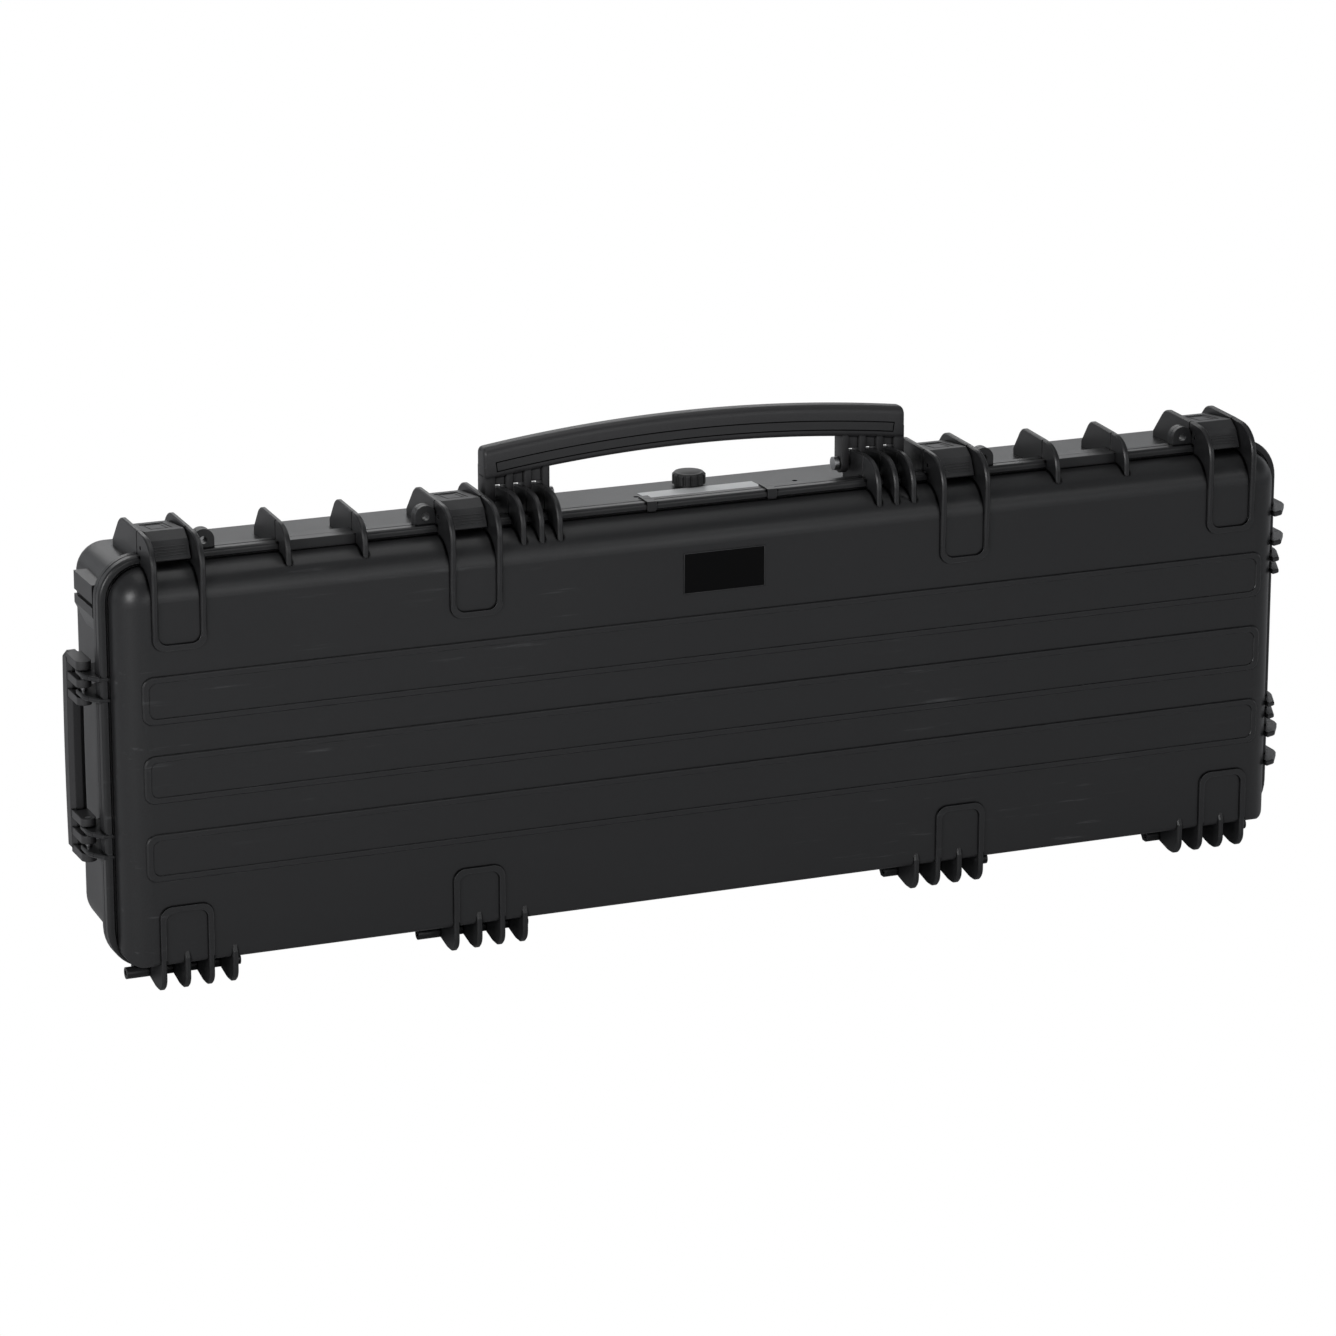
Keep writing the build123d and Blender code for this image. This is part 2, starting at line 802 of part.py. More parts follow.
for low, high in hinge_spans:
    base_cuts += placed(rod(hinge_pin_radius, high - low + overrun, hinge_depth, hinge_high),
                        [(low + high) / 2])

valve_seat = base_top(valve_depth)
seat_low = base_top(valve_depth + valve_radius)
collar_radius = valve_radius - 2 * edge_soft
label_plane = Plane(origin=(label_x, face_y + label_depth, base_top(label_depth)),
                    x_dir=(1, 0, 0), z_dir=(0, slope, 1))
base_cuts.append(post(valve_stem, 2 * base_wall + overrun, valve_x, valve_depth,
                      valve_seat - 2 * base_wall))
base_cuts.append(post(collar_radius + running_gap, 2 * base_wall, valve_x, valve_depth,
                      seat_low - seat))
for x, depth in screw_places:
    base_cuts.append(post(screw_radius, 2 * screw_deep, x, depth, base_top(depth) - screw_deep))
with BuildPart() as label_recess:
    with BuildSketch(label_plane):
        Rectangle(label_long, label_wide)
    extrude(amount=-label_sink)
base_cuts.append(label_recess.part)

with BuildPart() as base_shell:
    with BuildSketch(backing(base_front)):
        with Locations((0, body_mid)):
            RectangleRounded(2 * body_half, body_tall, body_corner)
    extrude(amount=base_deep, taper=draft)
    fillet(base_shell.faces().sort_by(Axis.Y)[-1].edges(), base_back_round)
    add(base_pieces)
    add(base_cuts, mode=Mode.SUBTRACT)
base_shell.part.label = "base_shell"
export_step(base_shell.part, "parts/base_shell.step")

# Sealing ring in the lid
gasket_stand = 0.1
with BuildPart() as lid_gasket:
    with BuildSketch(facing(lid_back + gasket_stand)):
        with Locations((0, body_mid)):
            for inward, cut in ((gasket_in + running_gap, Mode.ADD),
                                (gasket_in + gasket_wide - running_gap, Mode.SUBTRACT)):
                RectangleRounded(2 * (body_half - inward), body_tall - 2 * inward,
                                 body_corner - inward, mode=cut)
    extrude(amount=gasket_deep + gasket_stand)
lid_gasket.part.label = "lid_gasket"
export_step(lid_gasket.part, "parts/lid_gasket.step")

# Latch levers and their pins
lever_soft = 0.9
ridge_round = 3
crown_round = 4
tip_round = 1.4
hook_flare = 1              # the hook's end stands this far behind its root
cheek_round = 4
lever_shape = outline(
    [
        (grip_depth, grip_low),
        (ridge_depth, ridge_high),
        (latch_top_front, latch_crown),
        (latch_back, latch_tail),
        (latch_back + hook_flare, hook_low),
        (latch_back - latch_skin, hook_low),
        (latch_back - latch_skin, latch_tail - latch_skin - hook_flare),
        (latch_top_front + latch_skin, latch_crown - latch_skin - hook_flare),
        (latch_pivot_depth + latch_boss_radius - hook_flare, latch_pivot_high - hook_flare),
        (latch_pivot_depth, latch_pivot_high - latch_boss_radius),
        (grip_depth + latch_skin, grip_low),
    ],
    [(2, ridge_round), (3, crown_round), (6, ridge_round), (0, tip_round)],
)
cheek_shape = outline(
    [
        (latch_pivot_depth - latch_boss_radius, latch_arm_low + cheek_round),
        (latch_top_front, latch_crown - latch_skin / 2),
        (latch_back - latch_skin / 2, latch_tail - latch_skin / 2),
        (latch_back - latch_skin / 2, latch_arm_low),
        (latch_pivot_depth, latch_arm_low),
    ],
    [(4, cheek_round)],
)
panel_front, panel_back, panel_width = latch_panel
fall = (latch_crown - latch_tail) / (latch_back - latch_top_front)
panel_shape = outline(
    [
        (depth, latch_crown - fall * (depth - latch_top_front) + rise)
        for depth, rise in (
            (panel_front, overrun), (panel_back, overrun),
            (panel_back, -latch_panel_sink), (panel_front, -latch_panel_sink),
        )
    ],
    [],
)
cheek_mid = (latch_width - latch_cheek) / 2

with BuildPart() as lever:
    add(slab(lever_shape, latch_width, soft=lever_soft))
    add([Pos(x, 0, 0) * slab(cheek_shape, latch_cheek, soft=0) for x in (-cheek_mid, cheek_mid)])
    add(rod(latch_boss_radius, latch_width, latch_pivot_depth, latch_pivot_high))
    add(slab(panel_shape, panel_width, soft=0), mode=Mode.SUBTRACT)
    add(rod(latch_pin_radius + running_gap, rib_pitch, latch_pivot_depth, latch_pivot_high),
        mode=Mode.SUBTRACT)

for number, x in enumerate(latch_centres, start=1):
    with BuildPart() as latch_lever:
        with Locations((x, face_y, 0)):
            add(lever.part)
    latch_lever.part.label = f"latch_lever_{number}"
    export_step(latch_lever.part, f"parts/latch_lever_{number}.step")
    with BuildPart() as latch_pin:
        with Locations((x, face_y, 0)):
            add(rod(latch_pin_radius, rib_pitch + rib_wide - 2 * edge_soft,
                    latch_pivot_depth, latch_pivot_high))
    latch_pin.part.label = f"latch_pin_{number}"
    export_step(latch_pin.part, f"parts/latch_pin_{number}.step")

# Hinge pins
for number, (low, high) in enumerate(hinge_spans, start=1):
    with BuildPart() as hinge_pin:
        with Locations(((low + high) / 2, face_y, 0)):
            add(rod(hinge_pin_radius, high - low - 2 * edge_soft, hinge_depth, hinge_high))
    hinge_pin.part.label = f"hinge_pin_{number}"
    export_step(hinge_pin.part, f"parts/hinge_pin_{number}.step")

# Carry handle
strip_low = 7               # lower edge of the grip strip above the handle's underside
strip_high = 14.5
strip_half = 193
strip_sink = 0.6
plate_soft = 0.8
handle_front = handle_pivot_depth - handle_thick / 2
handle_end_round = 7
bar_end_low = handle_web_high - 1
pin_head = 6.3
pin_head_long = 4.6
plate_xs = [lug_first + (step - 0.5) * lug_pitch for step in range(3)]
plate_out = lug_first + 2.5 * lug_pitch - handle_plate / 2


def strip(sink, grow):
    # band that follows the curve of the handle's underside
    with BuildPart() as band:
        with BuildSketch(facing(handle_front + sink)):
            with BuildLine():
                low, high = strip_low - grow, strip_high + grow
                half = strip_half + grow
                ThreePointArc((-half, bar_end_low + low), (0, grip_mid_low + low),
                              (half, bar_end_low + low))
                Line((half, bar_end_low + low), (half, bar_end_low + high))
                ThreePointArc((half, bar_end_low + high), (0, grip_mid_low + high),
                              (-half, bar_end_low + high))
                Line((-half, bar_end_low + high), (-half, bar_end_low + low))
            make_face()
        extrude(amount=-(handle_thick - 2 * sink))
    return band.part


def plate_slab(wide):
    reach = handle_plate_round
    shape = outline(
        [
            (handle_pivot_depth - reach, handle_web_high + strip_low),
            (handle_pivot_depth + reach, handle_web_high + strip_low),
            (handle_pivot_depth + reach, handle_pivot_high - reach),
            (handle_pivot_depth - reach, handle_pivot_high - reach),
        ],
        [(2, reach - running_gap), (3, reach - running_gap)],
    )
    return slab(shape, wide, soft=plate_soft)


outer_wide = handle_half - plate_out
plates = [Pos(side * x, face_y, 0) * plate_slab(handle_plate) for x in plate_xs for side in (-1, 1)]
plates += [Pos(side * (handle_half - outer_wide / 2), face_y, 0) * plate_slab(outer_wide)
           for side in (-1, 1)]
inner = plate_xs[0] - handle_plate / 2
plates += [
    block((min(side * inner, side * handle_half) + seat, max(side * inner, side * handle_half) - seat),
          (handle_pivot_depth - web_thick / 2, handle_pivot_depth + web_thick / 2),
          (web_low, handle_web_high + strip_low))
    for side in (-1, 1)
]
handle_cuts = [strip(-overrun, running_gap)]
for side in (-1, 1):
    handle_cuts += placed(rod(handle_pin_radius + running_gap, handle_half - inner - edge_soft,
                              handle_pivot_depth, handle_pivot_high),
                          [side * (handle_half + inner - 2 * edge_soft) / 2])

with BuildPart() as carry_handle:
    with BuildSketch(facing(handle_pivot_depth + handle_thick / 2)) as bow:
        with BuildLine():
            ThreePointArc((-handle_half, handle_end_high), (0, handle_mid_high),
                          (handle_half, handle_end_high))
            Line((handle_half, handle_end_high), (handle_half, bar_end_low))
            ThreePointArc((handle_half, bar_end_low), (0, grip_mid_low),
                          (-handle_half, bar_end_low))
            Line((-handle_half, bar_end_low), (-handle_half, handle_end_high))
        make_face()
        top_corners = bow.vertices().sort_by(Axis.Z)[-2:]
        fillet(top_corners, handle_end_round)
    extrude(amount=handle_thick)
    bar_faces = carry_handle.faces().sort_by(Axis.Y)
    chamfer(bar_faces[0].edges() + bar_faces[-1].edges(), handle_soft)
    add(plates)
    add(handle_cuts, mode=Mode.SUBTRACT)
carry_handle.part.label = "carry_handle"
export_step(carry_handle.part, "parts/carry_handle.step")

with BuildPart() as carry_grip:
    add(strip(strip_sink, 0))
carry_grip.part.label = "carry_grip"
export_step(carry_grip.part, "parts/carry_grip.step")

for name, side in (("left", -1), ("right", 1)):
    shaft_start = inner - side_gap - pin_head_long
    with BuildPart() as carry_pin:
        with Locations((side * (shaft_start + handle_half - 2 * edge_soft) / 2, face_y, 0)):
            add(rod(handle_pin_radius, handle_half - 2 * edge_soft - shaft_start,
                    handle_pivot_depth, handle_pivot_high))
        with Locations((side * (shaft_start + pin_head_long / 2), face_y, 0)):
            add(rod(pin_head, pin_head_long, handle_pivot_depth, handle_pivot_high))
    carry_pin.part.label = f"carry_pin_{name}"
    export_step(carry_pin.part, f"parts/carry_pin_{name}.step")

# Side handle
side_back = side_pivot_depth + side_reach
side_bow = 3                # how far the grip bows out at its middle
side_plate_round = 7
side_plate_long = side_grip_in + side_bow + 2 * overrun
end_inner = end_lug_near - end_lug_wide / 2 - side_gap
end_between = (end_lug_near + end_lug_far) / 2
end_outer = end_lug_far + end_lug_wide / 2 + side_gap


def side_plate_slab(thick, height):
    reach = side_plate_round
    with BuildPart() as plate:
        with BuildSketch(Plane.XY.offset(height - thick / 2)):
            with Locations((-side_pivot_x, face_y + side_pivot_depth)):
                Circle(reach)
            with Locations((-side_pivot_x, face_y + side_pivot_depth + side_plate_long / 2)):
                Rectangle(2 * reach, side_plate_long)
        extrude(amount=thick)
    return plate.part


side_plates = []
for side in (-1, 1):
    for start, stop in ((end_inner - side_plate, end_inner),
                        (end_between - side_plate / 2, end_between + side_plate / 2),
                        (end_outer, side_half)):
        side_plates.append(side_plate_slab(stop - start, end_mid + side * (start + stop) / 2))
side_cuts = [
    post(side_pin_radius + running_gap, side_half - end_inner + 2 * side_plate - edge_soft,
         -side_pivot_x, side_pivot_depth,
         end_mid + (end_inner - 2 * side_plate if side > 0 else -side_half + edge_soft))
    for side in (-1, 1)
]

with BuildPart() as side_handle:
    with BuildSketch(Plane.YZ.offset(-side_pivot_x - side_thick / 2)) as side_bar:
        with BuildLine():
            front = face_y + side_pivot_depth + side_grip_in
            back = face_y + side_back
            Line((front, end_mid - side_half), (back, end_mid - side_half))
            ThreePointArc((back, end_mid - side_half), (back + side_bow, end_mid),
                          (back, end_mid + side_half))
            Line((back, end_mid + side_half), (front, end_mid + side_half))
            ThreePointArc((front, end_mid + side_half), (front + side_bow, end_mid),
                          (front, end_mid - side_half))
        make_face()
        fillet(side_bar.vertices().sort_by(Axis.Y)[-2:], handle_end_round)
    extrude(amount=side_thick)
    end_faces = side_handle.faces().sort_by(Axis.X)
    chamfer(end_faces[0].edges() + end_faces[-1].edges(), side_soft)
    add(side_plates)
    add(side_cuts, mode=Mode.SUBTRACT)
side_handle.part.label = "side_handle"
export_step(side_handle.part, "parts/side_handle.step")

for name, side in (("lower", -1), ("upper", 1)):
    start = end_inner - side_plate
    stop = side_half - 2 * edge_soft
    with BuildPart() as side_pin:
        add(post(side_pin_radius, stop - start, -side_pivot_x, side_pivot_depth,
                 end_mid + (start if side > 0 else -stop)))
    side_pin.part.label = f"side_pin_{name}"
    export_step(side_pin.part, f"parts/side_pin_{name}.step")

# Wheels
tyre_soft = 3
hub_dish = 3
for name, z in zip(("lower", "upper"), wheel_mids):
    low = z - wheel_width / 2
    with BuildPart() as wheel_tyre:
        add(post(wheel_radius, wheel_width, wheel_axis_x, wheel_axis_depth, low))
        chamfer(wheel_tyre.edges().filter_by(GeomType.CIRCLE), tyre_soft)
        add(post(hub_radius, wheel_width, wheel_axis_x, wheel_axis_depth, low),
            mode=Mode.SUBTRACT)
    wheel_tyre.part.label = f"wheel_tyre_{name}"
    export_step(wheel_tyre.part, f"parts/wheel_tyre_{name}.step")
    with BuildPart() as wheel_hub:
        add(post(hub_radius, wheel_width, wheel_axis_x, wheel_axis_depth, low))
        for start in (low, low + wheel_width - hub_dish):
            add(post(hub_radius - hub_dish, hub_dish, wheel_axis_x, wheel_axis_depth, start)
                - post(2 * axle_radius, hub_dish, wheel_axis_x, wheel_axis_depth, start),
                mode=Mode.SUBTRACT)
        add(post(axle_radius + running_gap, wheel_width, wheel_axis_x, wheel_axis_depth, low),
            mode=Mode.SUBTRACT)
    wheel_hub.part.label = f"wheel_hub_{name}"
    export_step(wheel_hub.part, f"parts/wheel_hub_{name}.step")
    axle_long = wheel_far - wheel_near + wheel_fin_wide
    with BuildPart() as wheel_axle:
        add(post(axle_radius, axle_long, wheel_axis_x, wheel_axis_depth, z - axle_long / 2))
    wheel_axle.part.label = f"wheel_axle_{name}"
    export_step(wheel_axle.part, f"parts/wheel_axle_{name}.step")

# Pressure valve
valve_collar = 1.6
valve_lift = 0.3            # knob above its collar
valve_bore = 3
valve_flutes = 14
valve_flute_radius = 1.5
valve_nut_radius = 9
valve_nut_thick = 3
collar_high = base_top(valve_depth - valve_radius) + valve_collar
knob_low = collar_high + valve_lift
knob_high = valve_seat + valve_high

with BuildPart() as valve_body:
    add(post(collar_radius, collar_high - seat_low + seat, valve_x, valve_depth,
             seat_low - seat))
    add(block((valve_x - valve_radius, valve_x + valve_radius),
              (valve_depth - valve_radius, valve_depth + valve_radius),
              (seat_low - 2 * base_wall, seat_low - seat))
        & post(valve_stem, 2 * base_wall, valve_x, valve_depth, seat_low - 2 * base_wall))
    add(post(valve_bore, knob_high - knob_low - valve_lift, valve_x, valve_depth, collar_high))
valve_body.part.label = "valve_body"
export_step(valve_body.part, "parts/valve_body.step")

with BuildPart() as valve_nut:
    nut_low = base_top(valve_depth + valve_nut_radius) - base_wall - valve_nut_thick
    add(post(valve_nut_radius, valve_nut_thick, valve_x, valve_depth, nut_low)
        - post(valve_stem, valve_nut_thick, valve_x, valve_depth, nut_low))
valve_nut.part.label = "valve_nut"
export_step(valve_nut.part, "parts/valve_nut.step")

with BuildPart() as valve_knob:
    add(post(valve_radius, knob_high - knob_low, valve_x, valve_depth, knob_low))
    chamfer(valve_knob.faces().sort_by(Axis.Z)[-1].edges(), 2 * edge_soft)
    with Locations((valve_x, face_y + valve_depth, (knob_low + knob_high) / 2)):
        with PolarLocations(valve_radius, valve_flutes):
            Cylinder(valve_flute_radius, knob_high - knob_low + overrun, mode=Mode.SUBTRACT)
    add(post(valve_bore + running_gap, knob_high - knob_low - valve_lift, valve_x, valve_depth,
             knob_low), mode=Mode.SUBTRACT)
valve_knob.part.label = "valve_knob"
export_step(valve_knob.part, "parts/valve_knob.step")

# Bare label on the base and bare badge on the lid
with BuildPart() as label_plate:
    with BuildSketch(label_plane.offset(-label_sink)):
        Rectangle(label_long - 2 * running_gap, label_wide - 2 * running_gap)
    extrude(amount=label_thick)
label_plate.part.label = "label_plate"
export_step(label_plate.part, "parts/label_plate.step")

badge_proud = 0.4
with BuildPart() as badge_plate:
    with BuildSketch(facing(badge_thick)):
        with Locations((0, badge_mid)):
            Rectangle(badge_long - 2 * running_gap, badge_tall - 2 * running_gap)
    extrude(amount=badge_thick + badge_proud)
    fillet(badge_plate.faces().sort_by(Axis.Y)[0].edges(), badge_proud / 2)
badge_plate.part.label = "badge_plate"
export_step(badge_plate.part, "parts/badge_plate.step")
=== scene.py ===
import json
import math

import bmesh
import bpy
from mathutils import Matrix, Vector


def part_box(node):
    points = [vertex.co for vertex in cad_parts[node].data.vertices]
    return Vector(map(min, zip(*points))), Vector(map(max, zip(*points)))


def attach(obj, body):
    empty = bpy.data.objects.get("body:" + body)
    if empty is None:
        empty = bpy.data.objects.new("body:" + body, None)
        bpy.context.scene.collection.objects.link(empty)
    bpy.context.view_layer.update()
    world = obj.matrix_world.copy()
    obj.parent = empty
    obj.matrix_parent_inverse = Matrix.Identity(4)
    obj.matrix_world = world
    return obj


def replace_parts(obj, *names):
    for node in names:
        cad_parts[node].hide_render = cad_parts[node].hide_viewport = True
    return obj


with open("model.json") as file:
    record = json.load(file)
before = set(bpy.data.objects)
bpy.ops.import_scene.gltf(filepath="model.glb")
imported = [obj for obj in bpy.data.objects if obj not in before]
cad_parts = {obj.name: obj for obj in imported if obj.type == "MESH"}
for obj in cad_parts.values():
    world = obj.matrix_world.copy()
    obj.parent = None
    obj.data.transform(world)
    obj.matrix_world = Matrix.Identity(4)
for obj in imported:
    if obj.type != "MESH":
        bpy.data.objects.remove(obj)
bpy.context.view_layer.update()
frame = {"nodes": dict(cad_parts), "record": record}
scene = bpy.context.scene
mm = 0.001
faceY = -0.075            # plane of the lid's face
draftSlope = math.tan(math.radians(2))
baseTopEdge = 0.385       # height of the base's top at the parting line
baseFrontDepth = 38.8


def baseTop(depth):       # height in metres of the base's top side at a depth in mm
    return baseTopEdge - (depth - baseFrontDepth) * draftSlope * mm


def at(x, depth, height):  # point given in mm: along the case, behind the lid's face, above the floor
    return Vector((x * mm, faceY + depth * mm, height * mm))


# camera
cameraValues = {
    "place": (-1.8675, -4.468, 1.6605),
    "turn": (73.42, 0.0, -22.42),
    "lens": 147.97,
    "sensor": 36.0,
    "reach": 100,
}


def makeCamera(values):
    data = bpy.data.cameras.new("studioCamera")
    data.lens = values["lens"]
    data.sensor_width = values["sensor"]
    data.clip_end = values["reach"]
    camera = bpy.data.objects.new("studioCamera", data)
    camera.location = values["place"]
    camera.rotation_euler = [math.radians(a) for a in values["turn"]]
    scene.collection.objects.link(camera)
    scene.camera = camera


makeCamera(cameraValues)
print("camera set")


# shader node groups
def newGroup(name, inputs, outputs):
    group = bpy.data.node_groups.new(name, "ShaderNodeTree")
    for label, value in inputs.items():
        socket = group.interface.new_socket(name=label, in_out="INPUT", socket_type="NodeSocketFloat")
        socket.default_value = value
    for label in outputs:
        group.interface.new_socket(name=label, in_out="OUTPUT", socket_type="NodeSocketFloat")
    return group, group.nodes.new("NodeGroupInput"), group.nodes.new("NodeGroupOutput")


def mathNode(tree, operation, first, second=None, clamp=False):
    node = tree.nodes.new("ShaderNodeMath")
    node.operation = operation
    node.use_clamp = clamp
    for socket, value in zip(node.inputs, (first, second)):
        if value is None:
            continue
        if isinstance(value, (int, float)):
            socket.default_value = value
        else:
            tree.links.new(value, socket)
    return node.outputs[0]


def rangeNode(tree, value, low, high, toLow=0.0, toHigh=1.0):  # eased step between two values
    node = tree.nodes.new("ShaderNodeMapRange")
    node.interpolation_type = "SMOOTHSTEP"
    tree.links.new(value, node.inputs["Value"])
    for label, number in zip(("From Min", "From Max", "To Min", "To Max"), (low, high, toLow, toHigh)):
        node.inputs[label].default_value = number
    return node.outputs["Result"]


def noiseNode(tree, vector, scale, detail=3.0, roughness=0.55):
    node = tree.nodes.new("ShaderNodeTexNoise")
    node.inputs["Detail"].default_value = detail
    node.inputs["Roughness"].default_value = roughness
    tree.links.new(vector, node.inputs["Vector"])
    if isinstance(scale, (int, float)):
        node.inputs["Scale"].default_value = scale
    else:
        tree.links.new(scale, node.inputs["Scale"])
    return node.outputs["Fac"]


def stretchNode(tree, vector, scale):
    node = tree.nodes.new("ShaderNodeMapping")
    node.inputs["Scale"].default_value = scale
    tree.links.new(vector, node.inputs["Vector"])
    return node.outputs["Vector"]


nodeSamples = {"bevel": 4, "hollow": 6}


def bevelNode(tree, radius):  # normal of the surface with its edges rounded, radius in mm
    node = tree.nodes.new("ShaderNodeBevel")
    node.samples = nodeSamples["bevel"]
    node.inputs["Radius"].default_value = radius * mm
    return node.outputs["Normal"]


def hollowNode(tree, reach):  # low where other surfaces stand close
    node = tree.nodes.new("ShaderNodeAmbientOcclusion")
    node.samples = nodeSamples["hollow"]
    tree.links.new(reach, node.inputs["Distance"])
    return node.outputs["AO"]


def amountOf(tree, mask, amount):
    return mathNode(tree, "MULTIPLY", mask, amount, clamp=True)


wearAndHighlightValues = {"breakup": 60.0, "radius": 1.1, "turned": (0.985, 0.80),
              "broken": (0.36, 0.62, 0.35, 1.0)}


# edges drawn in the lighter worn colour: partly wear, partly painted highlight
def makeEdgeWearAndHighlight(values):  # where a surface turns sharply, broken up by a soft noise
    group, into, out = newGroup("edgeWearAndHighlight", {"Breakup": values["breakup"], "Amount": 1.0}, ["Mask"])
    geometry = group.nodes.new("ShaderNodeNewGeometry")
    coords = group.nodes.new("ShaderNodeTexCoord")
    dot = group.nodes.new("ShaderNodeVectorMath")
    dot.operation = "DOT_PRODUCT"
    group.links.new(bevelNode(group, values["radius"]), dot.inputs[0])
    group.links.new(geometry.outputs["Normal"], dot.inputs[1])
    turned = rangeNode(group, dot.outputs["Value"], *values["turned"])
    noise = noiseNode(group, coords.outputs["Object"], into.outputs["Breakup"])
    mask = mathNode(group, "MULTIPLY", turned, rangeNode(group, noise, *values["broken"]))
    group.links.new(amountOf(group, mask, into.outputs["Amount"]), out.inputs["Mask"])
    return group


grainValues = {"scale": 1400.0, "detail": 2.0, "cells": 0.6, "speckle": (0.42, 0.62)}


def makeGrain(values):  # eroded texture of a moulded surface
    group, into, out = newGroup("mouldGrain", {"Scale": values["scale"]}, ["Height", "Speckle"])
    coords = group.nodes.new("ShaderNodeTexCoord")
    fine = noiseNode(group, coords.outputs["Object"], into.outputs["Scale"], values["detail"])
    cells = group.nodes.new("ShaderNodeTexVoronoi")
    cells.feature = "SMOOTH_F1"
    group.links.new(coords.outputs["Object"], cells.inputs["Vector"])
    group.links.new(into.outputs["Scale"], cells.inputs["Scale"])
    pits = mathNode(group, "MULTIPLY", cells.outputs["Distance"], values["cells"])
    group.links.new(mathNode(group, "ADD", fine, pits), out.inputs["Height"])
    group.links.new(rangeNode(group, fine, *values["speckle"]), out.inputs["Speckle"])
    return group


dustValues = {"patches": 9.0, "detail": 6.0, "upward": (0.35, 1.0), "spread": (0.30, 0.72, 0.45, 1.0)}


def makeDust(values):  # thin film on surfaces that face up
    group, into, out = newGroup("dustFilm", {"Amount": 1.0, "Patches": values["patches"]}, ["Mask"])
    coords = group.nodes.new("ShaderNodeTexCoord")
    geometry = group.nodes.new("ShaderNodeNewGeometry")
    split = group.nodes.new("ShaderNodeSeparateXYZ")
    group.links.new(geometry.outputs["Normal"], split.inputs[0])
    upward = rangeNode(group, split.outputs["Z"], *values["upward"])
    noise = noiseNode(group, coords.outputs["Object"], into.outputs["Patches"], values["detail"])
    mask = mathNode(group, "MULTIPLY", upward, rangeNode(group, noise, *values["spread"]))
    group.links.new(amountOf(group, mask, into.outputs["Amount"]), out.inputs["Mask"])
    return group


rubValues = {"stretch": (5.0, 40.0, 70.0), "streaks": (2.4, 5.0, 0.62), "cloud": (4.2, 4.0, 0.6),
             "thin": (0.60, 0.74), "where": (0.48, 0.66)}


def makeRubs(values):  # faint rubbed streaks and cloudy patches from handling
    group, into, out = newGroup("rubMarks", {"Amount": 1.0}, ["Mask", "Cloud"])
    coords = group.nodes.new("ShaderNodeTexCoord")
    drawn = stretchNode(group, coords.outputs["Object"], values["stretch"])
    streaks = noiseNode(group, drawn, *values["streaks"])
    cloud = noiseNode(group, coords.outputs["Object"], *values["cloud"])
    thin = rangeNode(group, streaks, *values["thin"])
    where = rangeNode(group, cloud, *values["where"])
    mask = mathNode(group, "MULTIPLY", thin, where)
    group.links.new(amountOf(group, mask, into.outputs["Amount"]), out.inputs["Mask"])
    group.links.new(cloud, out.inputs["Cloud"])
    return group


shadeValues = {"reach": 3.2, "deep": (0.93, 0.50)}


def makeCornerShade(values):  # painted shade in grooves and beside raised lines
    group, into, out = newGroup("cornerShade", {"Reach": values["reach"] * mm, "Amount": 1.0}, ["Mask"])
    deep = rangeNode(group, hollowNode(group, into.outputs["Reach"]), *values["deep"])
    group.links.new(amountOf(group, deep, into.outputs["Amount"]), out.inputs["Mask"])
    return group


def objectNormal(group, normal):  # parts of a normal along the case's own axes
    turn = group.nodes.new("ShaderNodeVectorTransform")
    turn.vector_type = "NORMAL"
    turn.convert_from, turn.convert_to = "WORLD", "OBJECT"
    group.links.new(normal, turn.inputs["Vector"])
    split = group.nodes.new("ShaderNodeSeparateXYZ")
    group.links.new(turn.outputs["Vector"], split.inputs[0])
    return split.outputs


creaseShadeValues = {"reach": 3.0, "radius": 2.0, "rise": (0.01, 0.09), "sideways": (0.03, 0.22),
                "upward": (0.25, 0.65), "deep": (0.995, 0.93)}


# painted shade: a line darkened towards the shadow colour where a small wall rises from the surface
def makeCreaseShadeLine(values):  # dark line at the foot of small walls that face up or sideways
    group, into, out = newGroup("creaseShadeLine", {"Reach": values["reach"] * mm, "Amount": 1.0}, ["Mask"])
    geometry = group.nodes.new("ShaderNodeNewGeometry")
    soft = objectNormal(group, bevelNode(group, values["radius"]))
    sharp = objectNormal(group, geometry.outputs["Normal"])
    rise = mathNode(group, "SUBTRACT", soft["Z"], sharp["Z"])
    sideways = mathNode(group, "SUBTRACT", mathNode(group, "ABSOLUTE", soft["X"]),
                        mathNode(group, "ABSOLUTE", sharp["X"]))
    line = mathNode(group, "MAXIMUM", rangeNode(group, rise, *values["rise"]),
                    rangeNode(group, sideways, *values["sideways"]))
    line = mathNode(group, "MAXIMUM", line, rangeNode(group, sharp["Z"], *values["upward"]))
    deep = rangeNode(group, hollowNode(group, into.outputs["Reach"]), *values["deep"])
    mask = mathNode(group, "MULTIPLY", line, deep)
    group.links.new(amountOf(group, mask, into.outputs["Amount"]), out.inputs["Mask"])
    return group


edgeWearAndHighlight = makeEdgeWearAndHighlight(wearAndHighlightValues)
mouldGrain = makeGrain(grainValues)
dustFilm = makeDust(dustValues)
rubMarks = makeRubs(rubValues)
cornerShade = makeCornerShade(shadeValues)
creaseShadeLine = makeCreaseShadeLine(creaseShadeValues)
print("node groups built")


# materials
def placeGroup(tree, group, **values):
    node = tree.nodes.new("ShaderNodeGroup")
    node.node_tree = group
    for label, value in values.items():
        node.inputs[label].default_value = value
    return node


def mixColour(tree, factor, first, second):
    node = tree.nodes.new("ShaderNodeMix")
    node.data_type = "RGBA"
    tree.links.new(factor, node.inputs["Factor"])
    for socket, value in ((node.inputs[6], first), (node.inputs[7], second)):
        if isinstance(value, tuple):
            socket.default_value = (*value, 1.0)
        else:
            tree.links.new(value, socket)
    return node.outputs[2]


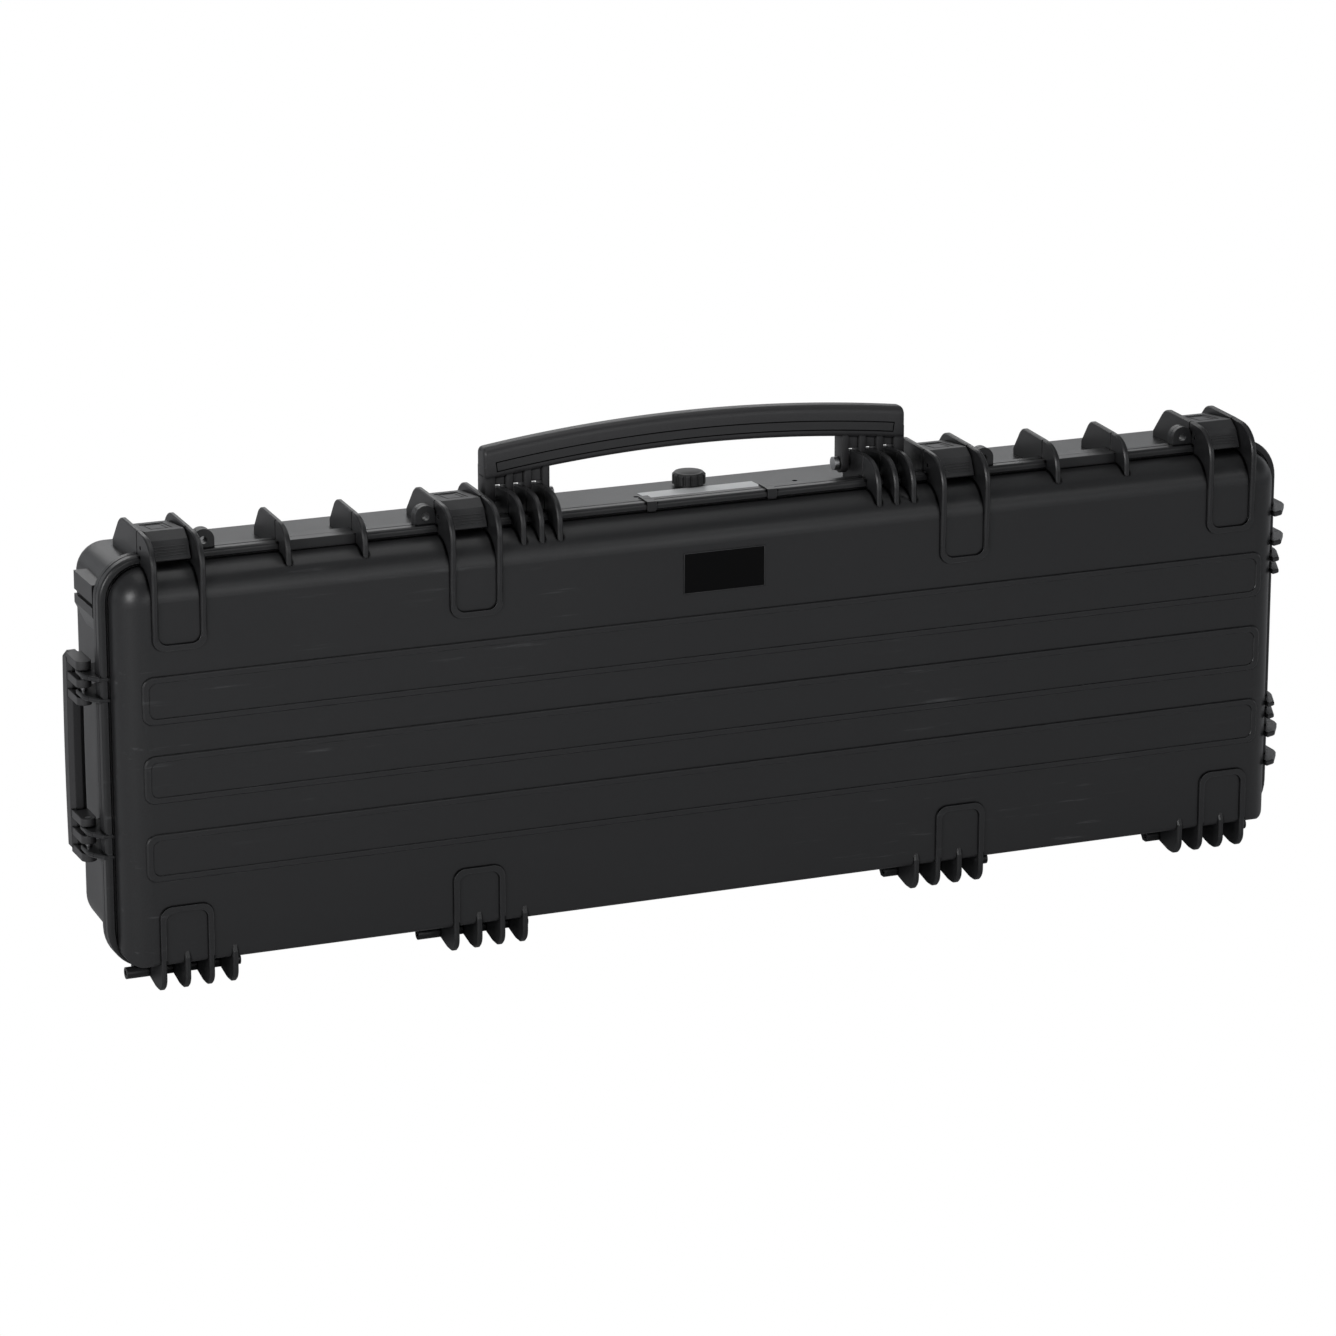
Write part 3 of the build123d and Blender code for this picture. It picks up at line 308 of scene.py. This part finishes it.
commonFinish = {"metallic": 0.0, "ior": 1.49, "wearAndHighlight": 0.5, "dust": 0.3, "rubs": 0.3, "shade": 0.8,
                "creaseShade": 0.0, "softEdge": 0.7, "grainScale": 1400.0, "bump": 0.25,
                "bumpDepth": 0.12, "cloudRange": (0.3, 0.7), "dustRough": 0.14,
                "wearSmooth": 0.12, "shadow": (0.0015, 0.0015, 0.0016)}


def makeMaterial(name, own):
    values = {**commonFinish, **own}
    material = bpy.data.materials.new(name)
    material.use_nodes = True
    tree = material.node_tree
    shader = tree.nodes["Principled BSDF"]
    shader.inputs["Metallic"].default_value = values["metallic"]
    shader.inputs["IOR"].default_value = values["ior"]
    wearAndHighlight = placeGroup(tree, edgeWearAndHighlight, Amount=values["wearAndHighlight"])
    grain = placeGroup(tree, mouldGrain, Scale=values["grainScale"])
    dust = placeGroup(tree, dustFilm, Amount=values["dust"])
    rubs = placeGroup(tree, rubMarks, Amount=values["rubs"])
    colour = mixColour(tree, grain.outputs["Speckle"], values["dark"], values["light"])
    colour = mixColour(tree, rubs.outputs["Mask"], colour, values["wornAndHighlight"])
    colour = mixColour(tree, dust.outputs["Mask"], colour, values["dustColour"])
    # edges lightened: partly wear, partly painted highlight
    colour = mixColour(tree, wearAndHighlight.outputs["Mask"], colour, values["wornAndHighlight"])
    # painted shade: colour darkened towards the shadow colour in grooves, corners and recesses
    shade = placeGroup(tree, cornerShade, Amount=values["shade"])
    colour = mixColour(tree, shade.outputs["Mask"], colour, values["shadow"])
    # painted shade line at the foot of small walls, its gloss taken out through Metallic
    if values["creaseShade"]:
        creaseShade = placeGroup(tree, creaseShadeLine, Amount=values["creaseShade"])
        colour = mixColour(tree, creaseShade.outputs["Mask"], colour, values["shadow"])
        tree.links.new(creaseShade.outputs["Mask"], shader.inputs["Metallic"])  # no gloss in the line
    tree.links.new(colour, shader.inputs["Base Color"])
    rough = rangeNode(tree, rubs.outputs["Cloud"], *values["cloudRange"], *values["roughness"])
    added = mathNode(tree, "MULTIPLY", dust.outputs["Mask"], values["dustRough"])
    rough = mathNode(tree, "ADD", rough, added)
    taken = mathNode(tree, "MULTIPLY", wearAndHighlight.outputs["Mask"], values["wearSmooth"])
    rough = mathNode(tree, "SUBTRACT", rough, taken, clamp=True)
    tree.links.new(rough, shader.inputs["Roughness"])
    bump = tree.nodes.new("ShaderNodeBump")
    bump.inputs["Strength"].default_value = values["bump"]
    bump.inputs["Distance"].default_value = values["bumpDepth"] * mm
    tree.links.new(grain.outputs["Height"], bump.inputs["Height"])
    tree.links.new(bevelNode(tree, values["softEdge"]), bump.inputs["Normal"])
    tree.links.new(bump.outputs["Normal"], shader.inputs["Normal"])
    return material


finishes = {
    "shellPlastic": {"dark": (0.0115, 0.0116, 0.0122), "light": (0.0165, 0.0166, 0.0175),
                     "wornAndHighlight": (0.150, 0.151, 0.156), "dustColour": (0.060, 0.0595, 0.059),
                     "roughness": (0.30, 0.38), "wearAndHighlight": 0.42, "dust": 0.06, "rubs": 0.30, "bump": 0.45,
                     "softEdge": 0.5, "creaseShade": 1.0, "shade": 0.35},
    "leverPlastic": {"dark": (0.0245, 0.0247, 0.0257), "light": (0.0325, 0.0327, 0.0341),
                     "wornAndHighlight": (0.070, 0.070, 0.073), "dustColour": (0.065, 0.0645, 0.064),
                     "roughness": (0.38, 0.46), "wearAndHighlight": 0.4, "dust": 0.10, "rubs": 0.3, "bump": 0.3,
                     "softEdge": 0.5},
    "handlePlastic": {"dark": (0.0260, 0.0252, 0.0262), "light": (0.0330, 0.0332, 0.0345),
                      "wornAndHighlight": (0.055, 0.055, 0.057), "dustColour": (0.055, 0.0545, 0.054),
                      "roughness": (0.34, 0.42), "wearAndHighlight": 0.3, "dust": 0.12, "rubs": 0.3, "bump": 0.25,
                      "softEdge": 1.6, "creaseShade": 0.9},
    "gripRubber": {"dark": (0.022, 0.022, 0.0228), "light": (0.028, 0.028, 0.0290),
                   "wornAndHighlight": (0.04, 0.04, 0.042), "dustColour": (0.055, 0.054, 0.053),
                   "roughness": (0.42, 0.50), "wearAndHighlight": 0.2, "dust": 0.12, "rubs": 0.2,
                   "grainScale": 2200.0, "bump": 0.4},
    "seamShadeBlack": {"dark": (0.0012, 0.0012, 0.0013), "light": (0.0020, 0.0020, 0.0021),
                  "wornAndHighlight": (0.004, 0.004, 0.004), "dustColour": (0.006, 0.006, 0.006),
                  "roughness": (0.80, 0.90), "wearAndHighlight": 0.0, "dust": 0.1, "rubs": 0.0, "ior": 1.15},
    "gasketRubber": {"dark": (0.045, 0.045, 0.046), "light": (0.060, 0.060, 0.061),
                     "wornAndHighlight": (0.09, 0.09, 0.09), "dustColour": (0.12, 0.12, 0.12),
                     "roughness": (0.70, 0.80), "wearAndHighlight": 0.1, "dust": 0.2, "rubs": 0.1,
                     "grainScale": 2600.0, "bump": 0.3},
    "pinSteel": {"dark": (0.50, 0.50, 0.51), "light": (0.60, 0.60, 0.61),
                 "wornAndHighlight": (0.75, 0.75, 0.76), "dustColour": (0.30, 0.29, 0.28),
                 "roughness": (0.26, 0.36), "wearAndHighlight": 0.5, "dust": 0.2, "rubs": 0.4,
                 "metallic": 1.0, "grainScale": 3000.0, "bump": 0.1},
    "tyreRubber": {"dark": (0.016, 0.016, 0.0165), "light": (0.022, 0.022, 0.0225),
                   "wornAndHighlight": (0.06, 0.058, 0.056), "dustColour": (0.10, 0.095, 0.09),
                   "roughness": (0.62, 0.74), "wearAndHighlight": 0.5, "dust": 0.3, "rubs": 0.6, "bump": 0.4},
    "hubPlastic": {"dark": (0.028, 0.028, 0.029), "light": (0.036, 0.036, 0.037),
                   "wornAndHighlight": (0.08, 0.08, 0.08), "dustColour": (0.09, 0.09, 0.09),
                   "roughness": (0.42, 0.50), "wearAndHighlight": 0.4, "dust": 0.3, "rubs": 0.2},
    "valvePlastic": {"dark": (0.017, 0.0172, 0.018), "light": (0.022, 0.0222, 0.023),
                     "wornAndHighlight": (0.06, 0.06, 0.062), "dustColour": (0.07, 0.069, 0.068),
                     "roughness": (0.40, 0.48), "wearAndHighlight": 0.5, "dust": 0.3, "rubs": 0.2},
    "labelFilm": {"dark": (0.84, 0.85, 0.855), "light": (0.88, 0.89, 0.895),
                  "wornAndHighlight": (0.60, 0.60, 0.60), "dustColour": (0.45, 0.45, 0.445),
                  "roughness": (0.38, 0.46), "wearAndHighlight": 0.2, "dust": 0.15, "rubs": 0.25,
                  "grainScale": 2600.0, "bump": 0.1, "softEdge": 0.2, "shade": 0.1},
    "badgePlastic": {"dark": (0.0010, 0.0010, 0.0011), "light": (0.0016, 0.0016, 0.0017),
                     "wornAndHighlight": (0.05, 0.05, 0.05), "dustColour": (0.02, 0.02, 0.02),
                     "roughness": (0.30, 0.38), "wearAndHighlight": 0.15, "dust": 0.1, "rubs": 0.1,
                     "grainScale": 2600.0, "bump": 0.08, "softEdge": 0.2, "ior": 1.2},
}
materials = {name: makeMaterial(name, own) for name, own in finishes.items()}

slotFinish = {
    "shell": "shellPlastic", "latch": "leverPlastic", "handle": "handlePlastic",
    "grip": "gripRubber", "gasket": "gasketRubber", "steel": "pinSteel", "tyre": "tyreRubber",
    "hub": "hubPlastic", "valve": "valvePlastic", "label": "labelFilm", "badge": "badgePlastic",
}
for row in frame["record"]["subparts"]:
    node = frame["nodes"][row["node"]]
    finish = materials[slotFinish[row["material_slot"]]]
    if not node.material_slots:
        node.data.materials.append(finish)
    for place in node.material_slots:
        place.material = finish
print("CAD nodes finished:", len(frame["nodes"]))


# mesh helpers
meshValues = {"weld": 1e-6, "smoothAngle": 32, "cornerSteps": 6}


def finishPiece(shape, name, body, slotName, finish=None):
    bmesh.ops.remove_doubles(shape, verts=shape.verts, dist=meshValues["weld"])
    bmesh.ops.recalc_face_normals(shape, faces=shape.faces)
    mesh = bpy.data.meshes.new(name)
    shape.to_mesh(mesh)
    shape.free()
    mesh.materials.append(materials[finish or slotFinish[slotName]])
    mesh.shade_smooth()
    mesh.set_sharp_from_angle(angle=math.radians(meshValues["smoothAngle"]))
    piece = bpy.data.objects.new(name, mesh)
    scene.collection.objects.link(piece)
    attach(piece, body)
    return piece


def softenEdges(shape, edges, offset, segments=2):
    bmesh.ops.bevel(shape, geom=edges, offset=offset, segments=segments, profile=0.5,
                    affect="EDGES", material=-1)


def addBar(shape, low, high, soft=0.0):  # box between two corners with softened edges
    size = high - low
    mid = (high + low) / 2
    made = bmesh.ops.create_cube(shape, size=1.0, matrix=Matrix.Translation(mid)
                                 @ Matrix.Diagonal((*size, 1.0)))
    if soft:
        edges = list({e for v in made["verts"] for e in v.link_edges})
        softenEdges(shape, edges, soft)


def addDisc(shape, centre, radius, thick, axis="Z", sides=32, soft=0.0):  # round bar along Z or X
    turn = {"Z": Matrix(), "X": Matrix.Rotation(math.pi / 2, 4, "Y")}[axis]
    made = bmesh.ops.create_cone(shape, cap_ends=True, segments=sides, radius1=radius, radius2=radius,
                                 depth=thick, matrix=Matrix.Translation(centre) @ turn)
    if soft:
        rims = [e for e in {e for v in made["verts"] for e in v.link_edges}
                if any(len(f.verts) > 4 for f in e.link_faces)]
        softenEdges(shape, rims, soft)


# name plate rim on the lid
badgeRim = {"width": 0.9, "proud": 0.75, "deep": 0.2, "soft": 0.25}


def makeBadgeRim(values):
    low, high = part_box("badge_plate")
    shape = bmesh.new()
    wide, proud = values["width"] * mm, values["proud"] * mm
    y0, y1 = faceY - proud, faceY + values["deep"] * mm
    left, right = low.x - wide, high.x + wide
    below, above = low.z - wide, high.z + wide
    for x0, z0, x1, z1 in ((left, below, right, low.z), (left, high.z, right, above),
                           (left, below, low.x, above), (high.x, below, right, above)):
        addBar(shape, Vector((x0, y0, z0)), Vector((x1, y1, z1)), values["soft"] * mm)
    finishPiece(shape, "badge_rim", "lid", "shell")


makeBadgeRim(badgeRim)


# latch levers: top frames and grip ridges on the front
leverTrim = {"levers": 4, "panel": (46.0, 78.0, 22.0), "frameIn": 3.2, "frameWidth": 0.8,
             "rise": 0.45, "root": 0.2, "soft": 0.12, "crown": 413.0, "tail": 407.0,
             "topFront": 36.6, "back": 90.0, "sink": 0.7, "ridges": 4, "ridgeStart": 0.30,
             "ridgeStep": 2.6, "ridgeLong": 30.0, "ridgeRadius": 0.55, "ridgeSides": 10,
             "frontLow": (17.5, 389.5), "frontHigh": (26.5, 406.5)}


def makeLeverTrim(values):
    fall = (values["crown"] - values["tail"]) / (values["back"] - values["topFront"])
    front, back, wide = values["panel"]
    inset, width, rise, root = (values[key] for key in ("frameIn", "frameWidth", "rise", "root"))

    def topAt(depth):
        return values["crown"] - fall * (depth - values["topFront"]) - values["sink"]

    for number in range(1, values["levers"] + 1):
        low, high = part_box(f"latch_lever_{number}")
        x = (low.x + high.x) / 2 / mm
        shape = bmesh.new()
        d0, d1 = front + inset, back - inset
        x0, x1 = x - wide / 2 + inset, x + wide / 2 - inset
        for da, db, xa, xb in ((d0, d0 + width, x0, x1), (d1 - width, d1, x0, x1),
                               (d0, d1, x0, x0 + width), (d0, d1, x1 - width, x1)):
            made = bmesh.ops.create_cube(shape, size=1.0, matrix=Matrix.Translation(
                at((xa + xb) / 2, (da + db) / 2, topAt((da + db) / 2) + (rise - root) / 2))
                @ Matrix.Rotation(-math.atan(fall), 4, "X")
                @ Matrix.Diagonal(((xb - xa) * mm, (db - da) * mm, (rise + root) * mm, 1.0)))
            edges = list({e for v in made["verts"] for e in v.link_edges})
            softenEdges(shape, edges, values["soft"] * mm, 1)
        finishPiece(shape, f"lever_frame_{number}", f"latch_{number}", "latch")
        ridges = bmesh.new()
        (dLow, hLow), (dHigh, hHigh) = values["frontLow"], values["frontHigh"]
        frontLong = math.hypot(dHigh - dLow, hHigh - hLow)
        for step in range(values["ridges"]):
            share = values["ridgeStart"] + step * values["ridgeStep"] / frontLong
            addDisc(ridges, at(x, dLow + share * (dHigh - dLow), hLow + share * (hHigh - hLow)),
                    values["ridgeRadius"] * mm, values["ridgeLong"] * mm, axis="X",
                    sides=values["ridgeSides"])
        finishPiece(ridges, f"lever_ridges_{number}", f"latch_{number}", "latch")


makeLeverTrim(leverTrim)


# label screws
labelScrews = {"places": ((-50.0, 88.5), (107.0, 87.0)), "radius": 2.3, "sunk": 1.1, "thick": 1.3,
               "soft": 0.35, "headRim": 1.2, "headDeep": 0.8, "near": 2.0, "facingUp": 0.99}


def makeLabelScrews(values):
    shape = bmesh.new()
    for x, depth in values["places"]:
        top = baseTop(depth) / mm - values["sunk"]
        centre = at(x, depth, top - values["thick"] / 2)
        addDisc(shape, centre, values["radius"] * mm, values["thick"] * mm, soft=values["soft"] * mm)
        head = [f for f in shape.faces if f.normal.z > values["facingUp"]
                and (f.calc_center_median() - centre).length < values["near"] * mm]
        bmesh.ops.inset_region(shape, faces=head, thickness=values["headRim"] * mm,
                               use_even_offset=True)
        bmesh.ops.translate(shape, verts=list({v for f in head for v in f.verts}),
                            vec=Vector((0, 0, -values["headDeep"] * mm)))
    finishPiece(shape, "label_screws", "base", "steel")


makeLabelScrews(labelScrews)


# bare white label, set back towards the valve
labelFilm = {"middle": 13.0, "long": 113.4, "depths": (77.5, 101.0), "thick": 0.95, "rise": 0.35}


def makeLabelFilm(values):
    shape = bmesh.new()
    left, right = (values["middle"] + side * values["long"] / 2 for side in (-1, 1))
    near, far = values["depths"]
    addBar(shape, at(left, near, 0), at(right, far, values["thick"]))
    for vert in shape.verts:  # follows the slope of the base's top
        vert.co.z += baseTop((vert.co.y - faceY) / mm) + (values["rise"] - values["thick"]) * mm
    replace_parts(finishPiece(shape, "label_film", "base", "label"), "label_plate")


makeLabelFilm(labelFilm)


# valve: raised cap on the knob
valveCap = {"radius": 11.0, "rise": 1.6, "steps": 6, "dome": 2.4, "sunk": 0.05, "root": 0.4,
            "turns": 48}


def makeValveCap(values):
    low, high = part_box("valve_knob")
    middle = Vector(((low.x + high.x) / 2, (low.y + high.y) / 2, high.z - values["sunk"] * mm))
    radius, rise, root = (values[key] * mm for key in ("radius", "rise", "root"))
    shape = bmesh.new()
    last = shape.verts.new(middle + Vector((0, 0, rise)))
    for step in range(1, values["steps"] + 1):
        share = step / values["steps"]
        point = middle + Vector((radius * share, 0, rise * (1 - share ** values["dome"])))
        vert = shape.verts.new(point)
        shape.edges.new((last, vert))
        last = vert
    bottom = shape.verts.new(middle + Vector((radius, 0, -root)))
    shape.edges.new((last, bottom))
    closing = shape.verts.new(middle + Vector((0, 0, -root)))
    shape.edges.new((bottom, closing))
    bmesh.ops.spin(shape, geom=shape.verts[:] + shape.edges[:], cent=middle, axis=(0, 0, 1),
                   angle=2 * math.pi, steps=values["turns"], use_merge=True)
    finishPiece(shape, "valve_cap", "valve_knob", "valve")


makeValveCap(valveCap)


# carry handle: rounded bow with comb plates, the inlaid strip along it, and a black sheet of painted
# shade round the strip
carryBow = {"half": 206.5, "rise": 14.5, "top": 463.5, "tall": 29.5, "front": 62.0, "back": 82.0,
            "topRound": 7.0, "lowRound": 4.5, "endSoft": 3.0, "endSteps": 3, "steps": 56}
combPlates = {"middles": (147.3, 164.7, 182.1), "wide": 7.0, "outerStart": 196.0, "front": 63.0,
              "back": 81.0, "low": 391.0, "high": 432.0, "endRound": 8.9, "soft": 0.9,
              "web": (66.0, 78.0, 414.5), "overlap": 1}
inlayStrip = {"half": 197.0, "low": 7.0, "high": 14.5, "proud": 0.18, "deep": 0.6}
inlaySeamShade = {"half": 198.0, "low": 6.0, "high": 15.5, "proud": 0.07, "deep": 0.6}


def addFace(shape, corners, rounds):  # flat outline whose listed corners are rounded
    before = set(shape.faces)
    verts = [shape.verts.new(corner) for corner in corners]
    shape.faces.new(verts)
    for index, radius in rounds:
        bmesh.ops.bevel(shape, geom=[verts[index]], offset=radius * mm,
                        segments=meshValues["cornerSteps"], profile=0.5,
                        affect="VERTICES", material=-1)
    return [face for face in shape.faces if face not in before]


def sweepBow(shape, section, half, values):  # carries a section along the handle's curve
    radius = (values["half"] ** 2 + values["rise"] ** 2) / (2 * values["rise"])
    centre = at(0, (values["front"] + values["back"]) / 2, values["top"] - radius)
    angle = math.asin(half / radius)
    parts = list({g for face in section for g in (*face.verts, *face.edges, face)})
    bmesh.ops.rotate(shape, verts=list({v for face in section for v in face.verts}), cent=centre,
                     matrix=Matrix.Rotation(-angle, 3, "Y"))
    bmesh.ops.spin(shape, geom=parts, cent=centre, axis=(0, 1, 0), angle=2 * angle,
                   steps=values["steps"])


def makeCarryHandle(values, comb):
    shape = bmesh.new()
    under = values["top"] - values["tall"]
    corners = [at(0, values["front"], under), at(0, values["back"], under),
               at(0, values["back"], values["top"]), at(0, values["front"], values["top"])]
    section = addFace(shape, corners, ((0, values["lowRound"]), (1, values["lowRound"]),
                                       (2, values["topRound"]), (3, values["topRound"])))
    sweepBow(shape, section, values["half"], values)
    for cap in [f for f in shape.faces if len(f.verts) > 4]:  # the ends stand upright
        side = 1 if cap.calc_center_median().x > 0 else -1
        for vert in cap.verts:
            vert.co.x = side * values["half"] * mm
        softenEdges(shape, list(cap.edges), values["endSoft"] * mm, values["endSteps"])
    front, back, low, high = (comb[key] for key in ("front", "back", "low", "high"))
    spans = [(side * mid - comb["wide"] / 2, side * mid + comb["wide"] / 2)
             for mid in comb["middles"] for side in (-1, 1)]
    spans += [(comb["outerStart"], values["half"]), (-values["half"], -comb["outerStart"])]
    for start, stop in spans:
        plate = addFace(shape, [at(start, front, low), at(start, back, low),
                                at(start, back, high), at(start, front, high)],
                        ((0, comb["endRound"]), (1, comb["endRound"])))
        made = bmesh.ops.extrude_face_region(shape, geom=plate)["geom"]
        moved = [g for g in made if isinstance(g, bmesh.types.BMVert)]
        bmesh.ops.translate(shape, verts=moved, vec=Vector(((stop - start) * mm, 0, 0)))
        rims = list({e for f in plate + [g for g in made if isinstance(g, bmesh.types.BMFace)]
                     for e in f.edges})
        softenEdges(shape, rims, comb["soft"] * mm)
    webFront, webBack, webLow = comb["web"]
    for side in (-1, 1):
        ends = sorted(side * (edge - comb["overlap"]) for edge in (comb["middles"][0], values["half"]))
        addBar(shape, at(ends[0], webFront, webLow), at(ends[1], webBack, high))
    piece = finishPiece(shape, "carry_handle_bow", "carry_handle", "handle")
    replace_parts(piece, "carry_handle")


def makeInlay(name, finish, values, bow):
    shape = bmesh.new()
    low, high = (bow["top"] - bow["tall"] + values[key] for key in ("low", "high"))
    for outer, inner in ((bow["front"] - values["proud"], bow["front"] + values["deep"]),
                         (bow["back"] + values["proud"], bow["back"] - values["deep"])):
        section = addFace(shape, [at(0, outer, low), at(0, inner, low),
                                  at(0, inner, high), at(0, outer, high)], ())
        sweepBow(shape, section, values["half"], bow)
    return finishPiece(shape, name, "carry_handle", "grip", finish=finish)


makeCarryHandle(carryBow, combPlates)
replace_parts(makeInlay("carry_grip_inlay", "gripRubber", inlayStrip, carryBow), "carry_grip")
# black sheet 1 mm wider than the strip all round: painted shade of the gap around the inlay
makeInlay("carry_grip_seam_shade", "seamShadeBlack", inlaySeamShade, carryBow)


# axle heads on the wheel housings
axleHeads = {"radius": 5.2, "thick": 2.0, "soft": 0.8}


def makeAxleHeads(values):
    shape = bmesh.new()
    for name in ("wheel_axle_lower", "wheel_axle_upper"):
        low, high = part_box(name)
        x, y = (low.x + high.x) / 2, (low.y + high.y) / 2
        for z, side in ((low.z, -1), (high.z, 1)):
            addDisc(shape, Vector((x, y, z + side * values["thick"] * mm / 2)),
                    values["radius"] * mm, values["thick"] * mm, soft=values["soft"] * mm)
    finishPiece(shape, "axle_heads", "base", "steel")


makeAxleHeads(axleHeads)
print("small pieces made")


# floor, world and lights
stageValues = {"floorSize": 60.0, "floorColour": (0.70, 0.70, 0.71, 1.0),
               "worldColour": (0.95, 0.97, 1.0, 1.0), "worldStrength": 0.57, "overheadStrength": 0.19,
               "darkFrom": (0.12, 0.42), "backdrop": (1.0, 1.0, 1.0, 1.0)}


def makeFloor(values):  # open to view, so that the lid shows where it swings below the feet
    shape = bmesh.new()
    bmesh.ops.create_grid(shape, x_segments=1, y_segments=1, size=values["floorSize"] / 2)
    mesh = bpy.data.meshes.new("floor")
    shape.to_mesh(mesh)
    shape.free()
    material = bpy.data.materials.new("paleFloor")
    material.use_nodes = True
    tree = material.node_tree
    tree.nodes.remove(tree.nodes["Principled BSDF"])
    output = tree.nodes["Material Output"]
    pale = tree.nodes.new("ShaderNodeBsdfDiffuse")
    pale.inputs["Color"].default_value = values["floorColour"]
    clear = tree.nodes.new("ShaderNodeBsdfTransparent")
    path = tree.nodes.new("ShaderNodeLightPath")
    through = mathNode(tree, "MAXIMUM", path.outputs["Is Camera Ray"], path.outputs["Is Shadow Ray"])
    choice = tree.nodes.new("ShaderNodeMixShader")
    tree.links.new(through, choice.inputs[0])
    tree.links.new(pale.outputs[0], choice.inputs[1])
    tree.links.new(clear.outputs[0], choice.inputs[2])
    tree.links.new(choice.outputs[0], output.inputs["Surface"])
    mesh.materials.append(material)
    floor = bpy.data.objects.new("floor", mesh)
    scene.collection.objects.link(floor)


def makeWorld(values):
    world = bpy.data.worlds.new("studio")
    world.use_nodes = True
    tree = world.node_tree
    back = tree.nodes["Background"]
    back.inputs["Color"].default_value = values["worldColour"]
    coords = tree.nodes.new("ShaderNodeTexCoord")  # the room is pale low down and dark overhead
    split = tree.nodes.new("ShaderNodeSeparateXYZ")
    tree.links.new(coords.outputs["Generated"], split.inputs[0])
    low, high = values["darkFrom"]
    tree.links.new(rangeNode(tree, split.outputs["Z"], low, high, values["worldStrength"],
                             values["overheadStrength"]), back.inputs["Strength"])
    white = tree.nodes.new("ShaderNodeBackground")
    white.inputs["Color"].default_value = values["backdrop"]
    path = tree.nodes.new("ShaderNodeLightPath")
    choice = tree.nodes.new("ShaderNodeMixShader")
    tree.links.new(path.outputs["Is Camera Ray"], choice.inputs[0])
    tree.links.new(back.outputs[0], choice.inputs[1])
    tree.links.new(white.outputs[0], choice.inputs[2])
    tree.links.new(choice.outputs[0], tree.nodes["World Output"].inputs["Surface"])
    scene.world = world


softBoxes = {
    "bandBox": {"place": (1.7, -3.5, 2.3), "aim": (0, 0, 0.38), "size": (3.6, 0.5), "watts": 8},
    "frontLeftBox": {"place": (-3.4, -2.2, 1.6), "aim": (-0.2, 0, 0.25), "size": (1.3, 1.3),
                     "watts": 62},
    "frontBox": {"place": (0.6, -4.6, 0.9), "aim": (0.2, 0, 0.2), "size": (3.0, 1.2), "watts": 14},
    "rearBox": {"place": (0.4, 3.4, 2.2), "aim": (0, 0, 0.35), "size": (3.6, 1.2), "watts": 24},
    "topBox": {"place": (0.0, 0.2, 3.6), "aim": (0, 0.02, 0.4), "size": (2.6, 2.6), "watts": 18,
               "gloss": 0.0},
}


def makeLights(boxes):
    for name, values in boxes.items():
        data = bpy.data.lights.new(name, "AREA")
        data.shape = "RECTANGLE"
        data.size, data.size_y = values["size"]
        data.energy = values["watts"]
        data.specular_factor = values.get("gloss", 1.0)
        light = bpy.data.objects.new(name, data)
        light.location = values["place"]
        way = Vector(values["aim"]) - Vector(values["place"])
        light.rotation_euler = way.to_track_quat("-Z", "Y").to_euler()
        light.visible_camera = False
        scene.collection.objects.link(light)


makeFloor(stageValues)
makeWorld(stageValues)
makeLights(softBoxes)
scene.view_settings.view_transform = "Standard"
print("floor, world and lights set")
